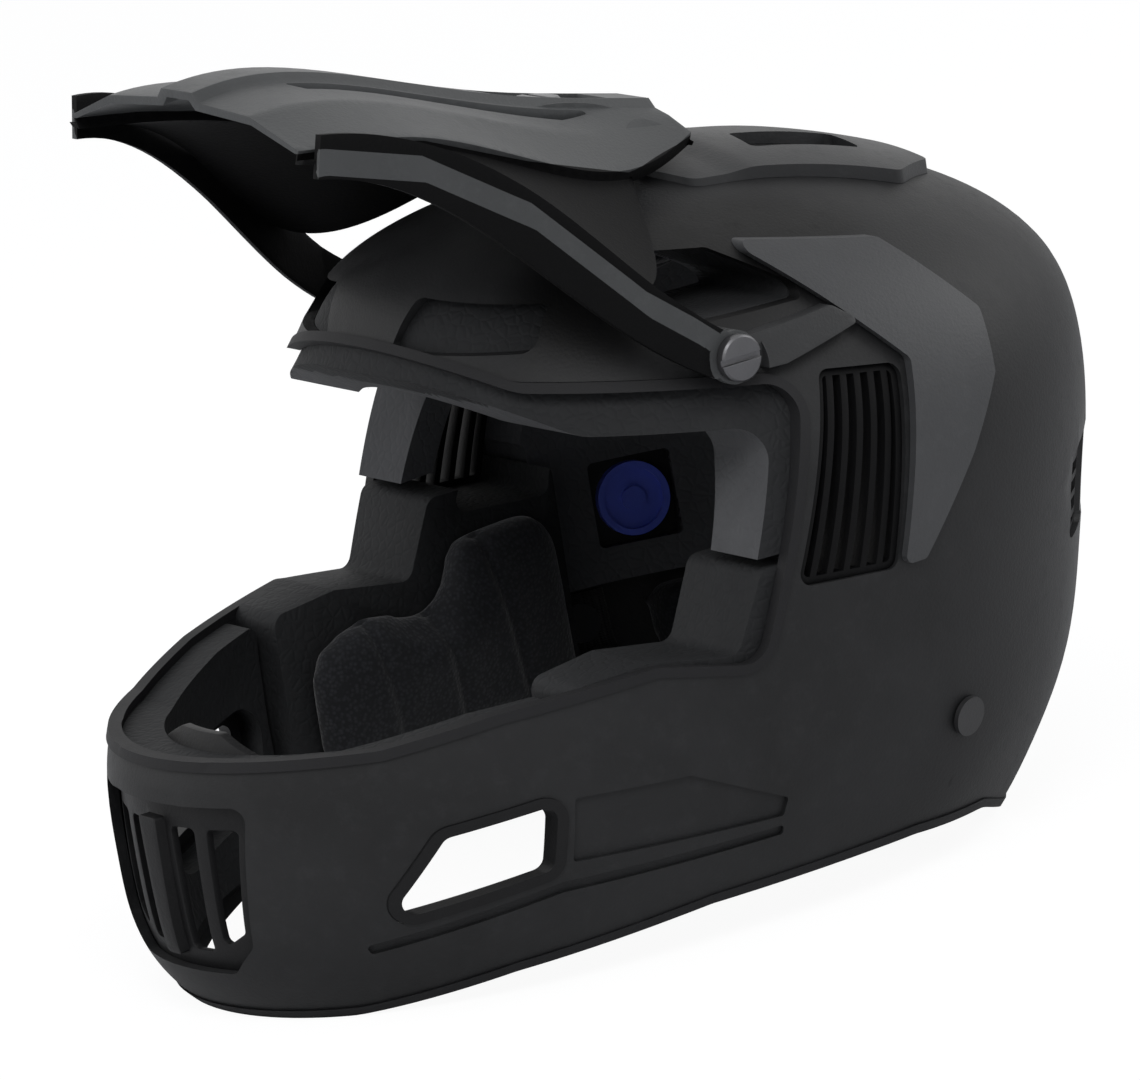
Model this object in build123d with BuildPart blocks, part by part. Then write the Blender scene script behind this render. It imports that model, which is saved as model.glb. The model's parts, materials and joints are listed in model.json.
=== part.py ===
from build123d import *
from math import copysign, cos, pi, radians, sin
import os

os.makedirs("parts", exist_ok=True)

# Driving sizes of the whole helmet, in millimetres.
# +Z is up, the face looks along -Y, the wearer's left is +X.
HALF_LENGTH = 178.0
CHIN_REACH = 176.0
HALF_WIDTH = 121.0
CROWN_HEIGHT = 223.0
RIM_DROP = 6.5
CUT_REACH = 320.0
MIDDLE_SHARE = 0.5
TOP_SHARE = 1.0

# Walls and gaps of the layers, counted inwards from the outer skin.
SHELL_WALL = 3.5
LAYER_GAP = 0.3
FOAM_WALL = 24.0
CHIN_FOAM_WALL = 13.0
PAD_WALL = 8.0
FOAM_OUTER = SHELL_WALL + LAYER_GAP
FOAM_INNER = FOAM_OUTER + FOAM_WALL
CHIN_FOAM_INNER = FOAM_OUTER + CHIN_FOAM_WALL
PAD_OUTER = FOAM_INNER + LAYER_GAP
PAD_INNER = PAD_OUTER + PAD_WALL

# Soft edge bands on the shell.
TRIM_WIDTH = 3.2
TRIM_LIP = 0.9
TRIM_GAP = 0.1

# Level sections of the outer skin, from below the rim to the crown.
# Each row holds the height as a share of the crown height, the front reach as a share
# of the chin reach, the rear reach as a share of the half length, the half width as a
# share of the full half width, the place of the widest point as a share of the half
# length, and the power of the rounded outline.
FORM_SHARES = (
    (-0.060, 0.870, 0.660, 0.740, 0.100, 2.20),
    (0.000, 0.945, 0.735, 0.800, 0.105, 2.20),
    (0.063, 0.985, 0.790, 0.860, 0.115, 2.20),
    (0.180, 1.000, 0.885, 0.930, 0.140, 2.15),
    (0.340, 0.990, 0.965, 0.980, 0.175, 2.00),
    (0.540, 0.800, 1.000, 1.000, 0.215, 2.10),
    (0.670, 0.625, 0.995, 0.965, 0.240, 2.20),
    (0.762, 0.485, 0.965, 0.890, 0.240, 2.20),
    (0.830, 0.425, 0.890, 0.795, 0.215, 2.20),
    (0.884, 0.395, 0.785, 0.680, 0.190, 2.20),
    (0.933, 0.330, 0.640, 0.530, 0.160, 2.20),
    (0.969, 0.205, 0.490, 0.365, 0.145, 2.20),
    (0.991, 0.060, 0.350, 0.200, 0.145, 2.10),
)
OUTLINE_COUNT = 16

# Outlines seen from the side: shares of the half length and of the crown height.
PORT_SHARES = (
    (-1.30, 0.363), (-0.740, 0.363), (-0.554, 0.388), (-0.282, 0.406), (-0.085, 0.372),
    (0.097, 0.742), (-0.328, 0.789), (-0.429, 0.852), (-1.30, 1.10),
)
PORT_RADIUS = 9.0
FOAM_PORT_SHARES = (
    (-1.30, 0.372), (-0.740, 0.372), (-0.554, 0.398), (-0.282, 0.416), (-0.118, 0.390),
    (0.030, 0.690), (-0.270, 0.722), (-0.400, 0.800), (-1.30, 1.05),
)
FOOT_SHARE = -RIM_DROP / CROWN_HEIGHT
RIM_SHARES = (
    (-1.30, FOOT_SHARE), (-0.790, FOOT_SHARE), (-0.560, 0.004), (-0.200, 0.034), (0.240, 0.038),
    (0.440, 0.024), (0.600, FOOT_SHARE), (1.30, FOOT_SHARE), (1.30, -0.60), (-1.30, -0.60),
)
RIM_RADIUS = 20.0
WINDOW_SHARES = ((-0.778, 0.118), (-0.672, 0.228), (-0.487, 0.246), (-0.506, 0.152))
WINDOW_RADIUS = 4.0
WINDOW_FRAME = 3.4
SIDE_VENT_SHARES = ((0.146, 0.748), (-0.002, 0.466), (0.206, 0.452), (0.308, 0.728))
SIDE_VENT_RADIUS = 4.0
TOP_VENT_SHARES = ((-0.062, 0.838), (-0.082, 0.902), (-0.034, 0.932), (0.094, 0.918), (0.225, 0.836))
TOP_VENT_RADIUS = 3.0
SIDE_PANEL_SHARES = (
    (0.122, 0.925), (0.402, 0.880), (0.521, 0.762), (0.500, 0.676), (0.405, 0.580),
    (0.262, 0.456), (0.214, 0.456), (0.322, 0.732), (0.244, 0.806),
)
SIDE_PANEL_RADIUS = 2.4
CHEEK_RECESS_SHARES = ((-0.455, 0.248), (-0.243, 0.240), (-0.052, 0.166), (-0.062, 0.140), (-0.470, 0.156))
CREASE_SHARES = (
    (-0.800, 0.086), (-0.490, 0.130), (-0.062, 0.126), (-0.062, 0.112), (-0.490, 0.114),
    (-0.790, 0.072),
)
RECESS_DEPTH = 1.6
RECESS_RADIUS = 1.2

# The shell's sections meet at a level seam and, below it, at an upright seam behind the chin bar.
SEAM_LEVEL_SHARE = 0.600
SEAM_PLACE_SHARE = -0.170

# Outlines seen from the front: shares of the half width and of the crown height.
MOUTH_SHARES = (
    (-0.340, 0.300), (0.340, 0.300), (0.300, 0.095), (0.215, 0.050), (-0.215, 0.050), (-0.300, 0.095),
)
MOUTH_RADIUS = 5.0
BROW_VENT_SHARES = ((0.150, 0.842), (0.540, 0.836), (0.500, 0.893), (0.190, 0.912))
BROW_VENT_RADIUS = 2.5
REAR_VENT_SHARES = ((0.600, 0.500), (0.735, 0.490), (0.715, 0.360), (0.600, 0.370))
REAR_VENT_RADIUS = 3.0
EXHAUST_SHARES = ((0.060, 0.740), (0.330, 0.735), (0.300, 0.680), (0.060, 0.690))


# Eye-port band, chin bar and cheek linings.
CHIN_FOAM_SHARES = (
    (-1.30, 0.350), (-0.740, 0.348), (-0.554, 0.376), (-0.430, 0.384), (-0.430, 0.048),
    (-0.560, 0.045), (-0.740, 0.036), (-1.30, 0.036),
)
CHEEK_SHARES = (
    (-0.420, 0.062), (-0.420, 0.398), (-0.282, 0.410), (-0.118, 0.388), (-0.052, 0.500),
    (0.225, 0.500), (0.225, 0.062),
)
CHEEK_RADIUS = 5.0
CHEEK_FACE = 74.0
CHEEK_PAD_SHARES = (
    (-0.385, 0.110), (-0.395, 0.330), (-0.270, 0.378), (-0.110, 0.362), (-0.040, 0.455),
    (0.190, 0.455), (0.200, 0.120), (0.020, 0.085),
)
CHEEK_PAD_WALL = 15.0
CROWN_FOAM_SHARES = (
    (-1.30, -0.20), (-1.30, 0.516), (0.240, 0.516), (0.255, 0.275), (1.30, 0.275), (1.30, -0.20),
)
NAPE_SHARES = ((0.460, 0.052), (0.460, 0.255), (1.30, 0.255), (1.30, 0.052))
NAPE_WALL = 20.0

# Comfort pads: four seen from above, one seen from behind.
BROW_PAD_SHARES = (
    (-0.560, -0.400), (-0.560, -0.110), (-0.300, -0.190), (0.300, -0.190), (0.560, -0.110), (0.560, -0.400),
)
CROWN_PAD_SHARES = ((-0.110, -0.120), (-0.130, 0.640), (0.130, 0.640), (0.110, -0.120))
SIDE_PAD_SHARES = ((0.230, -0.050), (0.250, 0.560), (0.440, 0.500), (0.540, 0.250), (0.520, 0.000))
REAR_PAD_SHARES = ((-0.290, 0.560), (-0.330, 0.300), (0.330, 0.300), (0.290, 0.560))
PAD_RADIUS = 9.0
PAD_TAPER = 7.0
CHEEK_PAD_DEPTH_SHARES = (0.0, 0.22, 0.62, 0.90, 1.0)
CHEEK_PAD_DRAWS = (3.0, 0.0, 0.6, 4.5, 9.0)

# Grilles and guard.
MOUTH_SLOT_SHARES = (
    ((0.062, 0.262), (0.150, 0.262), (0.140, 0.078), (0.062, 0.078)),
    ((0.190, 0.262), (0.285, 0.262), (0.255, 0.110), (0.180, 0.085)),
)
MOUTH_RIB_SHARES = ((-0.040, 0.275), (0.040, 0.275), (0.030, 0.070), (-0.030, 0.070))
SLOT_RADIUS = 2.0
GRILLE_WALL = 2.4
GRILLE_RISE = 3.0
GRILLE_DEPTH = 8.0
SLAT_COUNT = 6
SLAT_WIDTH = 2.4
BAR_WIDTH = 2.2
GUARD_SHARES = (
    (-0.250, 0.335), (-0.090, 0.372), (0.090, 0.372), (0.250, 0.335), (0.250, 0.240), (-0.250, 0.240),
)
GUARD_WALL = 2.5

# Visor: each row holds a place along the helmet as a share of the half length, a half width
# as a share of the half width, the heights of edge, shoulder and ridge as shares of the
# crown height, and the place of the web's lower edge as shares of half width and height.
VISOR_SHARES = (
    (0.250, 0.250, 1.039, 1.060, 1.081, 0.256, 1.025),
    (0.057, 0.364, 1.027, 1.072, 1.118, 0.374, 1.008),
    (-0.170, 0.405, 1.090, 1.138, 1.175, 0.812, 0.925),
    (-0.397, 0.450, 1.166, 1.208, 1.240, 0.696, 1.085),
    (-0.567, 0.520, 1.195, 1.242, 1.270, 0.624, 1.172),
    (-0.691, 0.545, 1.208, 1.246, 1.268, 0.566, 1.196),
)
VISOR_STEP = 3.2
SHOULDER_SHARE = 0.62
VISOR_WALL = 2.6
RIDGE_WIDTH = 9.0
RIDGE_RISE = 3.0
VISOR_SLOT_SHARES = ((0.110, -0.520), (0.175, -0.500), (0.165, 0.020), (0.110, 0.120))
ARM_OUTER_SHARES = ((-0.664, 1.228), (-0.500, 1.190), (-0.330, 1.094), (-0.165, 0.940), (0.020, 0.815))
ARM_INNER_SHARES = ((-0.060, 0.775), (-0.235, 0.890), (-0.395, 1.032), (-0.550, 1.132), (-0.680, 1.168))
ARM_PLAN_SHARES = ((0.560, -0.700), (0.712, -0.365), (0.815, -0.190), (0.864, -0.090), (0.864, 0.080))
ARM_WALL = 3.0
PIVOT_Y = -3.0
PIVOT_Z = 184.5
EAR_FACE = 104.5
EAR_RADIUS = 8.5
EAR_WALL = 3.0
EAR_SWEEP_RADIUS = 12.5
MOUNT_BOSS_DEPTH = 25.5
SCREW_RADIUS = 3.0
SCREW_RUN = 0.05
SCREW_HEAD_RADIUS = 7.5
SCREW_HEAD_WALL = 3.6
SCREW_REACH = 22.0
COIN_SLOT_WIDTH = 2.0
COIN_SLOT_DEPTH = 1.4
NUT_RADIUS = 6.5
NUT_WALL = 2.6
NUT_FACE = 86.0
BLADE_SHARES = ((-0.060, 0.771), (-0.034, 0.812), (0.215, 0.825), (0.255, 0.798), (0.080, 0.771))
BLADE_RADIUS = 1.5
BLADE_RISE = 4.0

# Crown fairing, seen from above: shares of the half width and of the half length.
FAIRING_SHARES = (
    (-0.220, 0.160), (-0.345, 0.200), (-0.370, 0.330), (-0.440, 0.600), (-0.300, 0.730), (0.300, 0.730),
    (0.440, 0.600), (0.370, 0.330), (0.345, 0.200), (0.220, 0.160),
)
FAIRING_RISE = 3.8
FAIRING_RADIUS = 6.0
FAIRING_VENT_SHARES = ((0.090, 0.400), (0.240, 0.380), (0.270, 0.600), (0.090, 0.620))
VENT_BAR_COUNT = 4
PANEL_RISE = 3.0
SADDLE_RADIUS = 66.0
SADDLE_WIDTH = 24.0
SADDLE_SPAN = 40.0
SADDLE_WALL = 2.6
POCKET_WIDTH = 17.0
POCKET_SPAN = 33.0
SLOT_SPAN = 22.5
CENTRE_SCREW_TURN = 9.0
SADDLE_FOOT = SADDLE_RADIUS - LAYER_GAP
HEAD_FACE = EAR_FACE + EAR_WALL + LAYER_GAP
NUT_SIDES = 6

# Small parts.
DISC_RADIUS = 12.5
DISC_WALL = 3.8
DISC_HUB_RADIUS = 4.0
DISC_GROOVE_WIDTH = 2.2
SEAT_SIZE = 29.0
SEAT_DEPTH = 4.0
SEAT_WALL = 1.0
SEAT_RADIUS = 2.0
DISC_PLACES = ((4.53, 22.0), (4.53, 158.0), (9.0, 60.0), (9.0, 120.0), (6.0, 90.0))
RIVET_PLACE = (3.11, 14.6)
RIVET_RADIUS = 3.0
RIVET_HEAD_RADIUS = 6.5
RIVET_HEAD_WALL = 1.6
RIVET_GAP = 0.9
STRAP_DEPTH = SHELL_WALL + RIVET_HEAD_WALL
STRAP_WIDTH = 22.0
STRAP_WALL = 1.8
STRAP_RISE = 10.0
STRAP_DROP = 22.0
SHORT_STRAP_DROP = 8.0
STRAP_FOOT = 62.0
STRAP_REACH = 138.0
STRAP_RADIUS = 8.0
RING_WIRE = 1.6
RING_RUN = 0.05
RING_SPACING = 3.8
RING_RADIUS = 13.0
RING_CORNER = 1.9
RING_ARM = 3.4
RING_PLACE = (26.0, 34.0)
SNAP_RADIUS = 5.0
SNAP_WALL = 3.0
SNAP_PLACES_SHARES = ((-0.300, 0.200), (-0.200, 0.330), (0.110, 0.300))


def up(share):
    """Height above the table of a share of the crown height."""
    return RIM_DROP + share * CROWN_HEIGHT


def outline_points(front, rear, width, widest, power):
    """Rounded outline of one level: its half width and its reaches from the widest point."""
    points = []
    for step in range(OUTLINE_COUNT):
        turn = 2 * pi * step / OUTLINE_COUNT
        across, along = cos(turn), sin(turn)
        reach = rear - widest if along > 0 else widest + front
        x = width * copysign(abs(across) ** (2 / power), across)
        y = widest + reach * copysign(abs(along) ** (2 / power), along)
        points.append((x, y))
    return points


def outline_parameters():
    """Even places along every level's outline, so that all levels share their spans."""
    return [step / OUTLINE_COUNT for step in range(OUTLINE_COUNT + 1)]


def level_sizes(row, inset):
    """Height and reaches of one level, moved inwards by the inset."""
    level, front, rear, width, widest, power = row
    return (
        up(level) - level * inset, front * (CHIN_REACH - inset), rear * (HALF_LENGTH - inset),
        width * (HALF_WIDTH - inset), widest * HALF_LENGTH, power,
    )


def skin(inset):
    """Solid inside the outer skin, or inside a skin that lies deeper by the inset."""
    with BuildPart() as form:
        for row in FORM_SHARES:
            height, front, rear, width, widest, power = level_sizes(row, inset)
            with BuildSketch(Plane.XY.offset(height)):
                with BuildLine():
                    points = [Vector(*point) for point in outline_points(front, rear, width, widest, power)]
                    add(Edge.make_spline(points, periodic=True, parameters=outline_parameters()))
                make_face()
        loft()
    return form.part


def wall_plane(place, turn_degrees, inset):
    """Plane on a skin, its normal pointing at the head, between two levels and at one turn from +X."""
    row_index = int(place)
    part_way = place - row_index
    upper, lower = FORM_SHARES[row_index + 1], FORM_SHARES[row_index]
    row = [low + (high - low) * part_way for low, high in zip(lower, upper)]
    height, front, rear, width, widest, power = level_sizes(row, inset)
    turn = radians(turn_degrees)
    across, along = cos(turn), sin(turn)
    reach = rear - widest if along > 0 else widest + front
    x = width * copysign(abs(across) ** (2 / power), across)
    y = widest + reach * copysign(abs(along) ** (2 / power), along)
    above = level_sizes(FORM_SHARES[row_index + 1], inset)
    below = level_sizes(FORM_SHARES[row_index - 1], inset)
    slope = (below[3] - above[3]) / (above[0] - below[0])
    normal = Vector(-across, -along * width / reach, -slope)
    return Plane(origin=(x, y, height), x_dir=(-along, across, 0), z_dir=normal.normalized())


def side_face(shares, radius, grow=0.0):
    """Outline in the side view, with rounded corners, grown outwards where that is asked."""
    with BuildSketch() as sketch:
        with BuildLine():
            FilletPolyline(*[(y * HALF_LENGTH, up(z)) for y, z in shares], radius=radius, close=True)
        make_face()
        if grow:
            offset(amount=grow)
    return sketch.sketch


def front_face(shares, radius, grow=0.0):
    """Outline in the front view, with rounded corners, grown outwards where that is asked."""
    with BuildSketch() as sketch:
        with BuildLine():
            FilletPolyline(*[(x * HALF_WIDTH, up(z)) for x, z in shares], radius=radius, close=True)
        make_face()
        if grow:
            offset(amount=grow)
    return sketch.sketch


def through_x(face):
    """Prism of a side outline through the whole width."""
    with BuildPart() as prism:
        with BuildSketch(Plane.YZ):
            add(face)
        extrude(amount=CUT_REACH, both=True)
    return prism.part


def towards_front(face):
    """Prism of a front outline from the middle of the helmet forwards."""
    with BuildPart() as prism:
        with BuildSketch(Plane.XZ):
            add(face)
        extrude(amount=CUT_REACH)
    return prism.part


def towards_rear(face):
    """Prism of a front outline from the middle of the helmet backwards."""
    with BuildPart() as prism:
        with BuildSketch(Plane.XZ):
            add(face)
        extrude(amount=-CUT_REACH)
    return prism.part


def mirrored(shape):
    """The same shape on the other side."""
    return mirror(shape, about=Plane.YZ, mode=Mode.PRIVATE)


def finish(piece, name):
    """Give the piece its name and write it."""
    piece.part.label = name
    export_step(piece.part, "parts/" + name + ".step")


def plan_face(shares, radius, grow=0.0):
    """Outline seen from above, with rounded corners, grown outwards where that is asked."""
    with BuildSketch() as sketch:
        with BuildLine():
            FilletPolyline(*[(x * HALF_WIDTH, y * HALF_LENGTH) for x, y in shares], radius=radius, close=True)
        make_face()
        if grow:
            offset(amount=grow)
    return sketch.sketch


def upwards(face):
    """Prism of a plan outline from half the crown height up."""
    with BuildPart() as prism:
        with BuildSketch(Plane.XY.offset(up(MIDDLE_SHARE))):
            add(face)
        extrude(amount=CUT_REACH)
    return prism.part


def cut_by(block, *tools):
    """What the tools leave of a block."""
    with BuildPart() as rest:
        add(block)
        add(list(tools), mode=Mode.SUBTRACT)
    return rest.part


def common(block, other):
    """What two blocks share."""
    with BuildPart() as both:
        add(block)
        add(other, mode=Mode.INTERSECT)
    return both.part


def left_half():
    """Block that holds the wearer's left side."""
    with BuildPart() as half:
        Box(CUT_REACH, CUT_REACH * 2, CUT_REACH * 2, align=(Align.MIN, Align.CENTER, Align.CENTER))
    return half.part


outer_skin = skin(0.0)
shell_inside = skin(SHELL_WALL)
foam_skin = skin(FOAM_OUTER)
foam_inside = skin(FOAM_INNER)
pad_skin = skin(PAD_OUTER)
pad_inside = skin(PAD_INNER)
trim_skin = skin(-TRIM_LIP)
left_side = left_half()

below_rim = through_x(side_face(RIM_SHARES, RIM_RADIUS))
below_shell = below_rim.moved(Location((0, 0, TRIM_WIDTH + TRIM_GAP)))
eye_port = through_x(side_face(PORT_SHARES, PORT_RADIUS))
shell_port = through_x(side_face(PORT_SHARES, PORT_RADIUS, TRIM_WIDTH + TRIM_GAP))
trim_port = through_x(side_face(PORT_SHARES, PORT_RADIUS, TRIM_WIDTH))
foam_port = through_x(side_face(FOAM_PORT_SHARES, PORT_RADIUS))
window_hole = through_x(side_face(WINDOW_SHARES, WINDOW_RADIUS))
frame_hole = through_x(side_face(WINDOW_SHARES, WINDOW_RADIUS, WINDOW_FRAME))
shell_window = through_x(side_face(WINDOW_SHARES, WINDOW_RADIUS, WINDOW_FRAME + TRIM_GAP))
mouth_hole = towards_front(front_face(MOUTH_SHARES, MOUTH_RADIUS))
brow_vent = towards_front(front_face(BROW_VENT_SHARES, BROW_VENT_RADIUS))
rear_vent = towards_rear(front_face(REAR_VENT_SHARES, REAR_VENT_RADIUS))
exhaust_vent = towards_rear(front_face(EXHAUST_SHARES, BROW_VENT_RADIUS))
side_vent = through_x(side_face(SIDE_VENT_SHARES, SIDE_VENT_RADIUS))
top_vent = through_x(side_face(TOP_VENT_SHARES, TOP_VENT_RADIUS))
crown_vent = upwards(plan_face(FAIRING_VENT_SHARES, BROW_VENT_RADIUS))

# Holes for the two side screws and the two strap rivets.
with BuildPart() as screw_holes:
    with Locations(Plane.YZ):
        with Locations((PIVOT_Y, PIVOT_Z)):
            Cylinder(SCREW_RADIUS + SCREW_RUN, CUT_REACH)
rivet_plane = wall_plane(RIVET_PLACE[0], RIVET_PLACE[1], 0.0)
with BuildPart() as rivet_hole:
    with BuildSketch(rivet_plane):
        Circle(RIVET_RADIUS + TRIM_GAP)
    extrude(amount=STRAP_WIDTH, both=True)

# Recesses pressed into the outside of the chin bar and the cheek.
recess_block = through_x(side_face(CHEEK_RECESS_SHARES, RECESS_RADIUS))
crease_block = through_x(side_face(CREASE_SHARES, RECESS_RADIUS))
with BuildPart() as recesses:
    add(recess_block)
    add(crease_block)
    add(skin(RECESS_DEPTH), mode=Mode.SUBTRACT)

with BuildPart() as whole_shell:
    add(outer_skin)
    add(
        [
            shell_inside, below_shell, shell_port, shell_window, mouth_hole, brow_vent, mirrored(brow_vent),
            rear_vent, mirrored(rear_vent), exhaust_vent, mirrored(exhaust_vent), side_vent, top_vent,
            crown_vent, mirrored(crown_vent), screw_holes.part, rivet_hole.part,
            mirrored(rivet_hole.part), recesses.part,
        ],
        mode=Mode.SUBTRACT,
    )

# The shell in three sections: the crown with the brow, the chin bar, and the rear with both cheeks.
level_seam = Plane.XY.offset(up(SEAM_LEVEL_SHARE))
upright_seam = Plane.XZ.offset(-SEAM_PLACE_SHARE * HALF_LENGTH)
with BuildPart() as crown_shell:
    add(whole_shell.part)
    split(bisect_by=level_seam, keep=Keep.TOP)
finish(crown_shell, "crown_shell")
with BuildPart() as chin_shell:
    add(whole_shell.part)
    split(bisect_by=level_seam, keep=Keep.BOTTOM)
    split(bisect_by=upright_seam, keep=Keep.TOP)
finish(chin_shell, "chin_shell")
with BuildPart() as rear_shell:
    add(whole_shell.part)
    split(bisect_by=level_seam, keep=Keep.BOTTOM)
    split(bisect_by=upright_seam, keep=Keep.BOTTOM)
finish(rear_shell, "rear_shell")

# Rubber band along the edge of the eye port.
with BuildPart() as eye_port_trim:
    add(trim_port)
    add(eye_port, mode=Mode.SUBTRACT)
    add(trim_skin, mode=Mode.INTERSECT)
    add(shell_inside, mode=Mode.SUBTRACT)
finish(eye_port_trim, "eye_port_trim")

# Rubber band along the lower rim; the helmet stands on it.
rim_band = cut_by(below_rim.moved(Location((0, 0, TRIM_WIDTH))), below_rim)
with BuildPart() as neck_trim:
    add(rim_band)
    add(trim_skin, mode=Mode.INTERSECT)
    add(shell_inside, mode=Mode.SUBTRACT)
finish(neck_trim, "neck_trim")


# Foam liner over the crown, the temples and the back of the head, with air channels.
crown_foam_below = through_x(side_face(CROWN_FOAM_SHARES, SIDE_VENT_RADIUS))
disc_planes = [wall_plane(row, turn, FOAM_INNER) for row, turn in DISC_PLACES]
with BuildPart() as seat_pockets:
    for plane in disc_planes:
        with BuildSketch(plane):
            RectangleRounded(SEAT_SIZE, SEAT_SIZE, SEAT_RADIUS)
        extrude(amount=SEAT_DEPTH + SEAT_WALL + LAYER_GAP, both=True)
with BuildPart() as nut_pockets:
    with BuildSketch(Plane.YZ.offset(NUT_FACE - NUT_WALL - LAYER_GAP)):
        with Locations((PIVOT_Y, PIVOT_Z)):
            Circle(NUT_RADIUS + LAYER_GAP)
    extrude(amount=HALF_WIDTH)
    mirror(about=Plane.YZ)
with BuildPart() as crown_liner:
    add(foam_skin)
    add([foam_inside, crown_foam_below, foam_port, seat_pockets.part, nut_pockets.part, side_vent, top_vent],
        mode=Mode.SUBTRACT)
finish(crown_liner, "crown_liner")

# Foam behind the chin bar, open at the mouth vent and at both windows.
with BuildPart() as chin_liner:
    add(through_x(side_face(CHIN_FOAM_SHARES, SIDE_VENT_RADIUS)))
    add(foam_skin, mode=Mode.INTERSECT)
    add([skin(CHIN_FOAM_INNER), towards_front(front_face(MOUTH_SHARES, MOUTH_RADIUS, SHELL_WALL)),
         through_x(side_face(WINDOW_SHARES, WINDOW_RADIUS, WINDOW_FRAME + SHELL_WALL))], mode=Mode.SUBTRACT)
finish(chin_liner, "chin_liner")

# Foam block and soft pad at each cheek, with studs between the two.
snap_places = [(y * HALF_LENGTH, up(z)) for y, z in SNAP_PLACES_SHARES]
with BuildPart() as cheek_block_left:
    with BuildSketch(Plane.YZ.offset(CHEEK_FACE)):
        add(side_face(CHEEK_SHARES, CHEEK_RADIUS))
    extrude(amount=HALF_WIDTH)
    add(foam_skin, mode=Mode.INTERSECT)
    with BuildSketch(Plane.YZ.offset(CHEEK_FACE)):
        with Locations(*snap_places):
            Circle(SNAP_RADIUS + TRIM_GAP)
    extrude(amount=SNAP_WALL + TRIM_GAP, mode=Mode.SUBTRACT)
    add(side_vent, mode=Mode.SUBTRACT)
finish(cheek_block_left, "cheek_block_left")
with BuildPart() as cheek_block_right:
    add(mirrored(cheek_block_left.part))
finish(cheek_block_right, "cheek_block_right")

with BuildPart() as cheek_pad_left:
    for depth_share, drawn_in in zip(CHEEK_PAD_DEPTH_SHARES, CHEEK_PAD_DRAWS):
        with BuildSketch(Plane.YZ.offset(CHEEK_FACE - LAYER_GAP - depth_share * CHEEK_PAD_WALL)):
            add(side_face(CHEEK_PAD_SHARES, CHEEK_PAD_WALL, -drawn_in))
    loft()
finish(cheek_pad_left, "cheek_pad_left")
with BuildPart() as cheek_pad_right:
    add(mirrored(cheek_pad_left.part))
finish(cheek_pad_right, "cheek_pad_right")
with BuildPart() as pad_snaps:
    with BuildSketch(Plane.YZ.offset(CHEEK_FACE)):
        with Locations(*snap_places):
            Circle(SNAP_RADIUS)
    extrude(amount=SNAP_WALL)
    mirror(about=Plane.YZ)
finish(pad_snaps, "pad_snaps")

# Comfort pads on the liner: brow, crown, both sides and the back of the head.
pad_layer = cut_by(pad_skin, pad_inside)


def crown_cushion(shares):
    """Pad under the crown, its sides drawn in towards the head."""
    with BuildPart() as cushion:
        with BuildSketch(Plane.XY.offset(up(TOP_SHARE))):
            add(plan_face(shares, PAD_RADIUS))
        extrude(amount=-CROWN_HEIGHT / 2, taper=PAD_TAPER)
        add(pad_layer, mode=Mode.INTERSECT)
    return cushion.part


with BuildPart() as brow_pad:
    add(cut_by(crown_cushion(BROW_PAD_SHARES), foam_port))
finish(brow_pad, "brow_pad")
with BuildPart() as crown_pad:
    add(crown_cushion(CROWN_PAD_SHARES))
finish(crown_pad, "crown_pad")
with BuildPart() as side_pad_left:
    add(crown_cushion(SIDE_PAD_SHARES))
finish(side_pad_left, "side_pad_left")
with BuildPart() as side_pad_right:
    add(mirrored(side_pad_left.part))
finish(side_pad_right, "side_pad_right")
with BuildPart() as rear_pad:
    with BuildSketch(Plane.XZ.offset(-HALF_LENGTH)):
        add(front_face(REAR_PAD_SHARES, PAD_RADIUS))
    extrude(amount=HALF_LENGTH, taper=PAD_TAPER)
    add(pad_layer, mode=Mode.INTERSECT)
finish(rear_pad, "rear_pad")
with BuildPart() as neck_roll:
    add(through_x(side_face(NAPE_SHARES, PAD_RADIUS)))
    add(foam_skin, mode=Mode.INTERSECT)
    add(skin(FOAM_OUTER + NAPE_WALL), mode=Mode.SUBTRACT)
finish(neck_roll, "neck_roll")

# Raised panels on the outside of the shell.
fairing_top = skin(-FAIRING_RISE)
panel_floor = skin(-TRIM_GAP)
with BuildPart() as crown_fairing:
    add(upwards(plan_face(FAIRING_SHARES, FAIRING_RADIUS)))
    add(fairing_top, mode=Mode.INTERSECT)
    add([panel_floor, crown_vent, mirrored(crown_vent)], mode=Mode.SUBTRACT)
finish(crown_fairing, "crown_fairing")
with BuildPart() as side_panel_left:
    with BuildSketch(Plane.YZ):
        add(side_face(SIDE_PANEL_SHARES, SIDE_PANEL_RADIUS))
    extrude(amount=CUT_REACH)
    add(skin(-PANEL_RISE), mode=Mode.INTERSECT)
    add(panel_floor, mode=Mode.SUBTRACT)
finish(side_panel_left, "side_panel_left")
with BuildPart() as side_panel_right:
    add(mirrored(side_panel_left.part))
finish(side_panel_right, "side_panel_right")

# Visor: an arched plate with a raised ridge, two slots and an arm down to each pivot.
def visor_section(row, wall):
    """Half arch of the visor at one station, from its middle to its edge."""
    _, width, edge, shoulder, ridge, web_width, web_edge = row
    width, web_width = width * HALF_WIDTH, web_width * HALF_WIDTH
    edge, shoulder, ridge, web_edge = up(edge), up(shoulder), up(ridge), up(web_edge)
    low_ridge = ridge - RIDGE_RISE
    return (
        (0, ridge - wall), (RIDGE_WIDTH - wall, ridge - wall),
        (RIDGE_WIDTH + RIDGE_RISE - wall, low_ridge - wall),
        (width * SHOULDER_SHARE, shoulder - wall), (width - wall / 2, edge - wall / 2),
        (width - VISOR_STEP / 2 - wall / 2, edge - VISOR_STEP - wall / 2),
        (web_width - wall / 2, web_edge - wall / 2),
    )


def prism_of(face):
    """Prism of a face to both sides of its plane."""
    with BuildPart() as prism:
        add(extrude(face, amount=CUT_REACH, both=True))
    return prism.part


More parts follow.
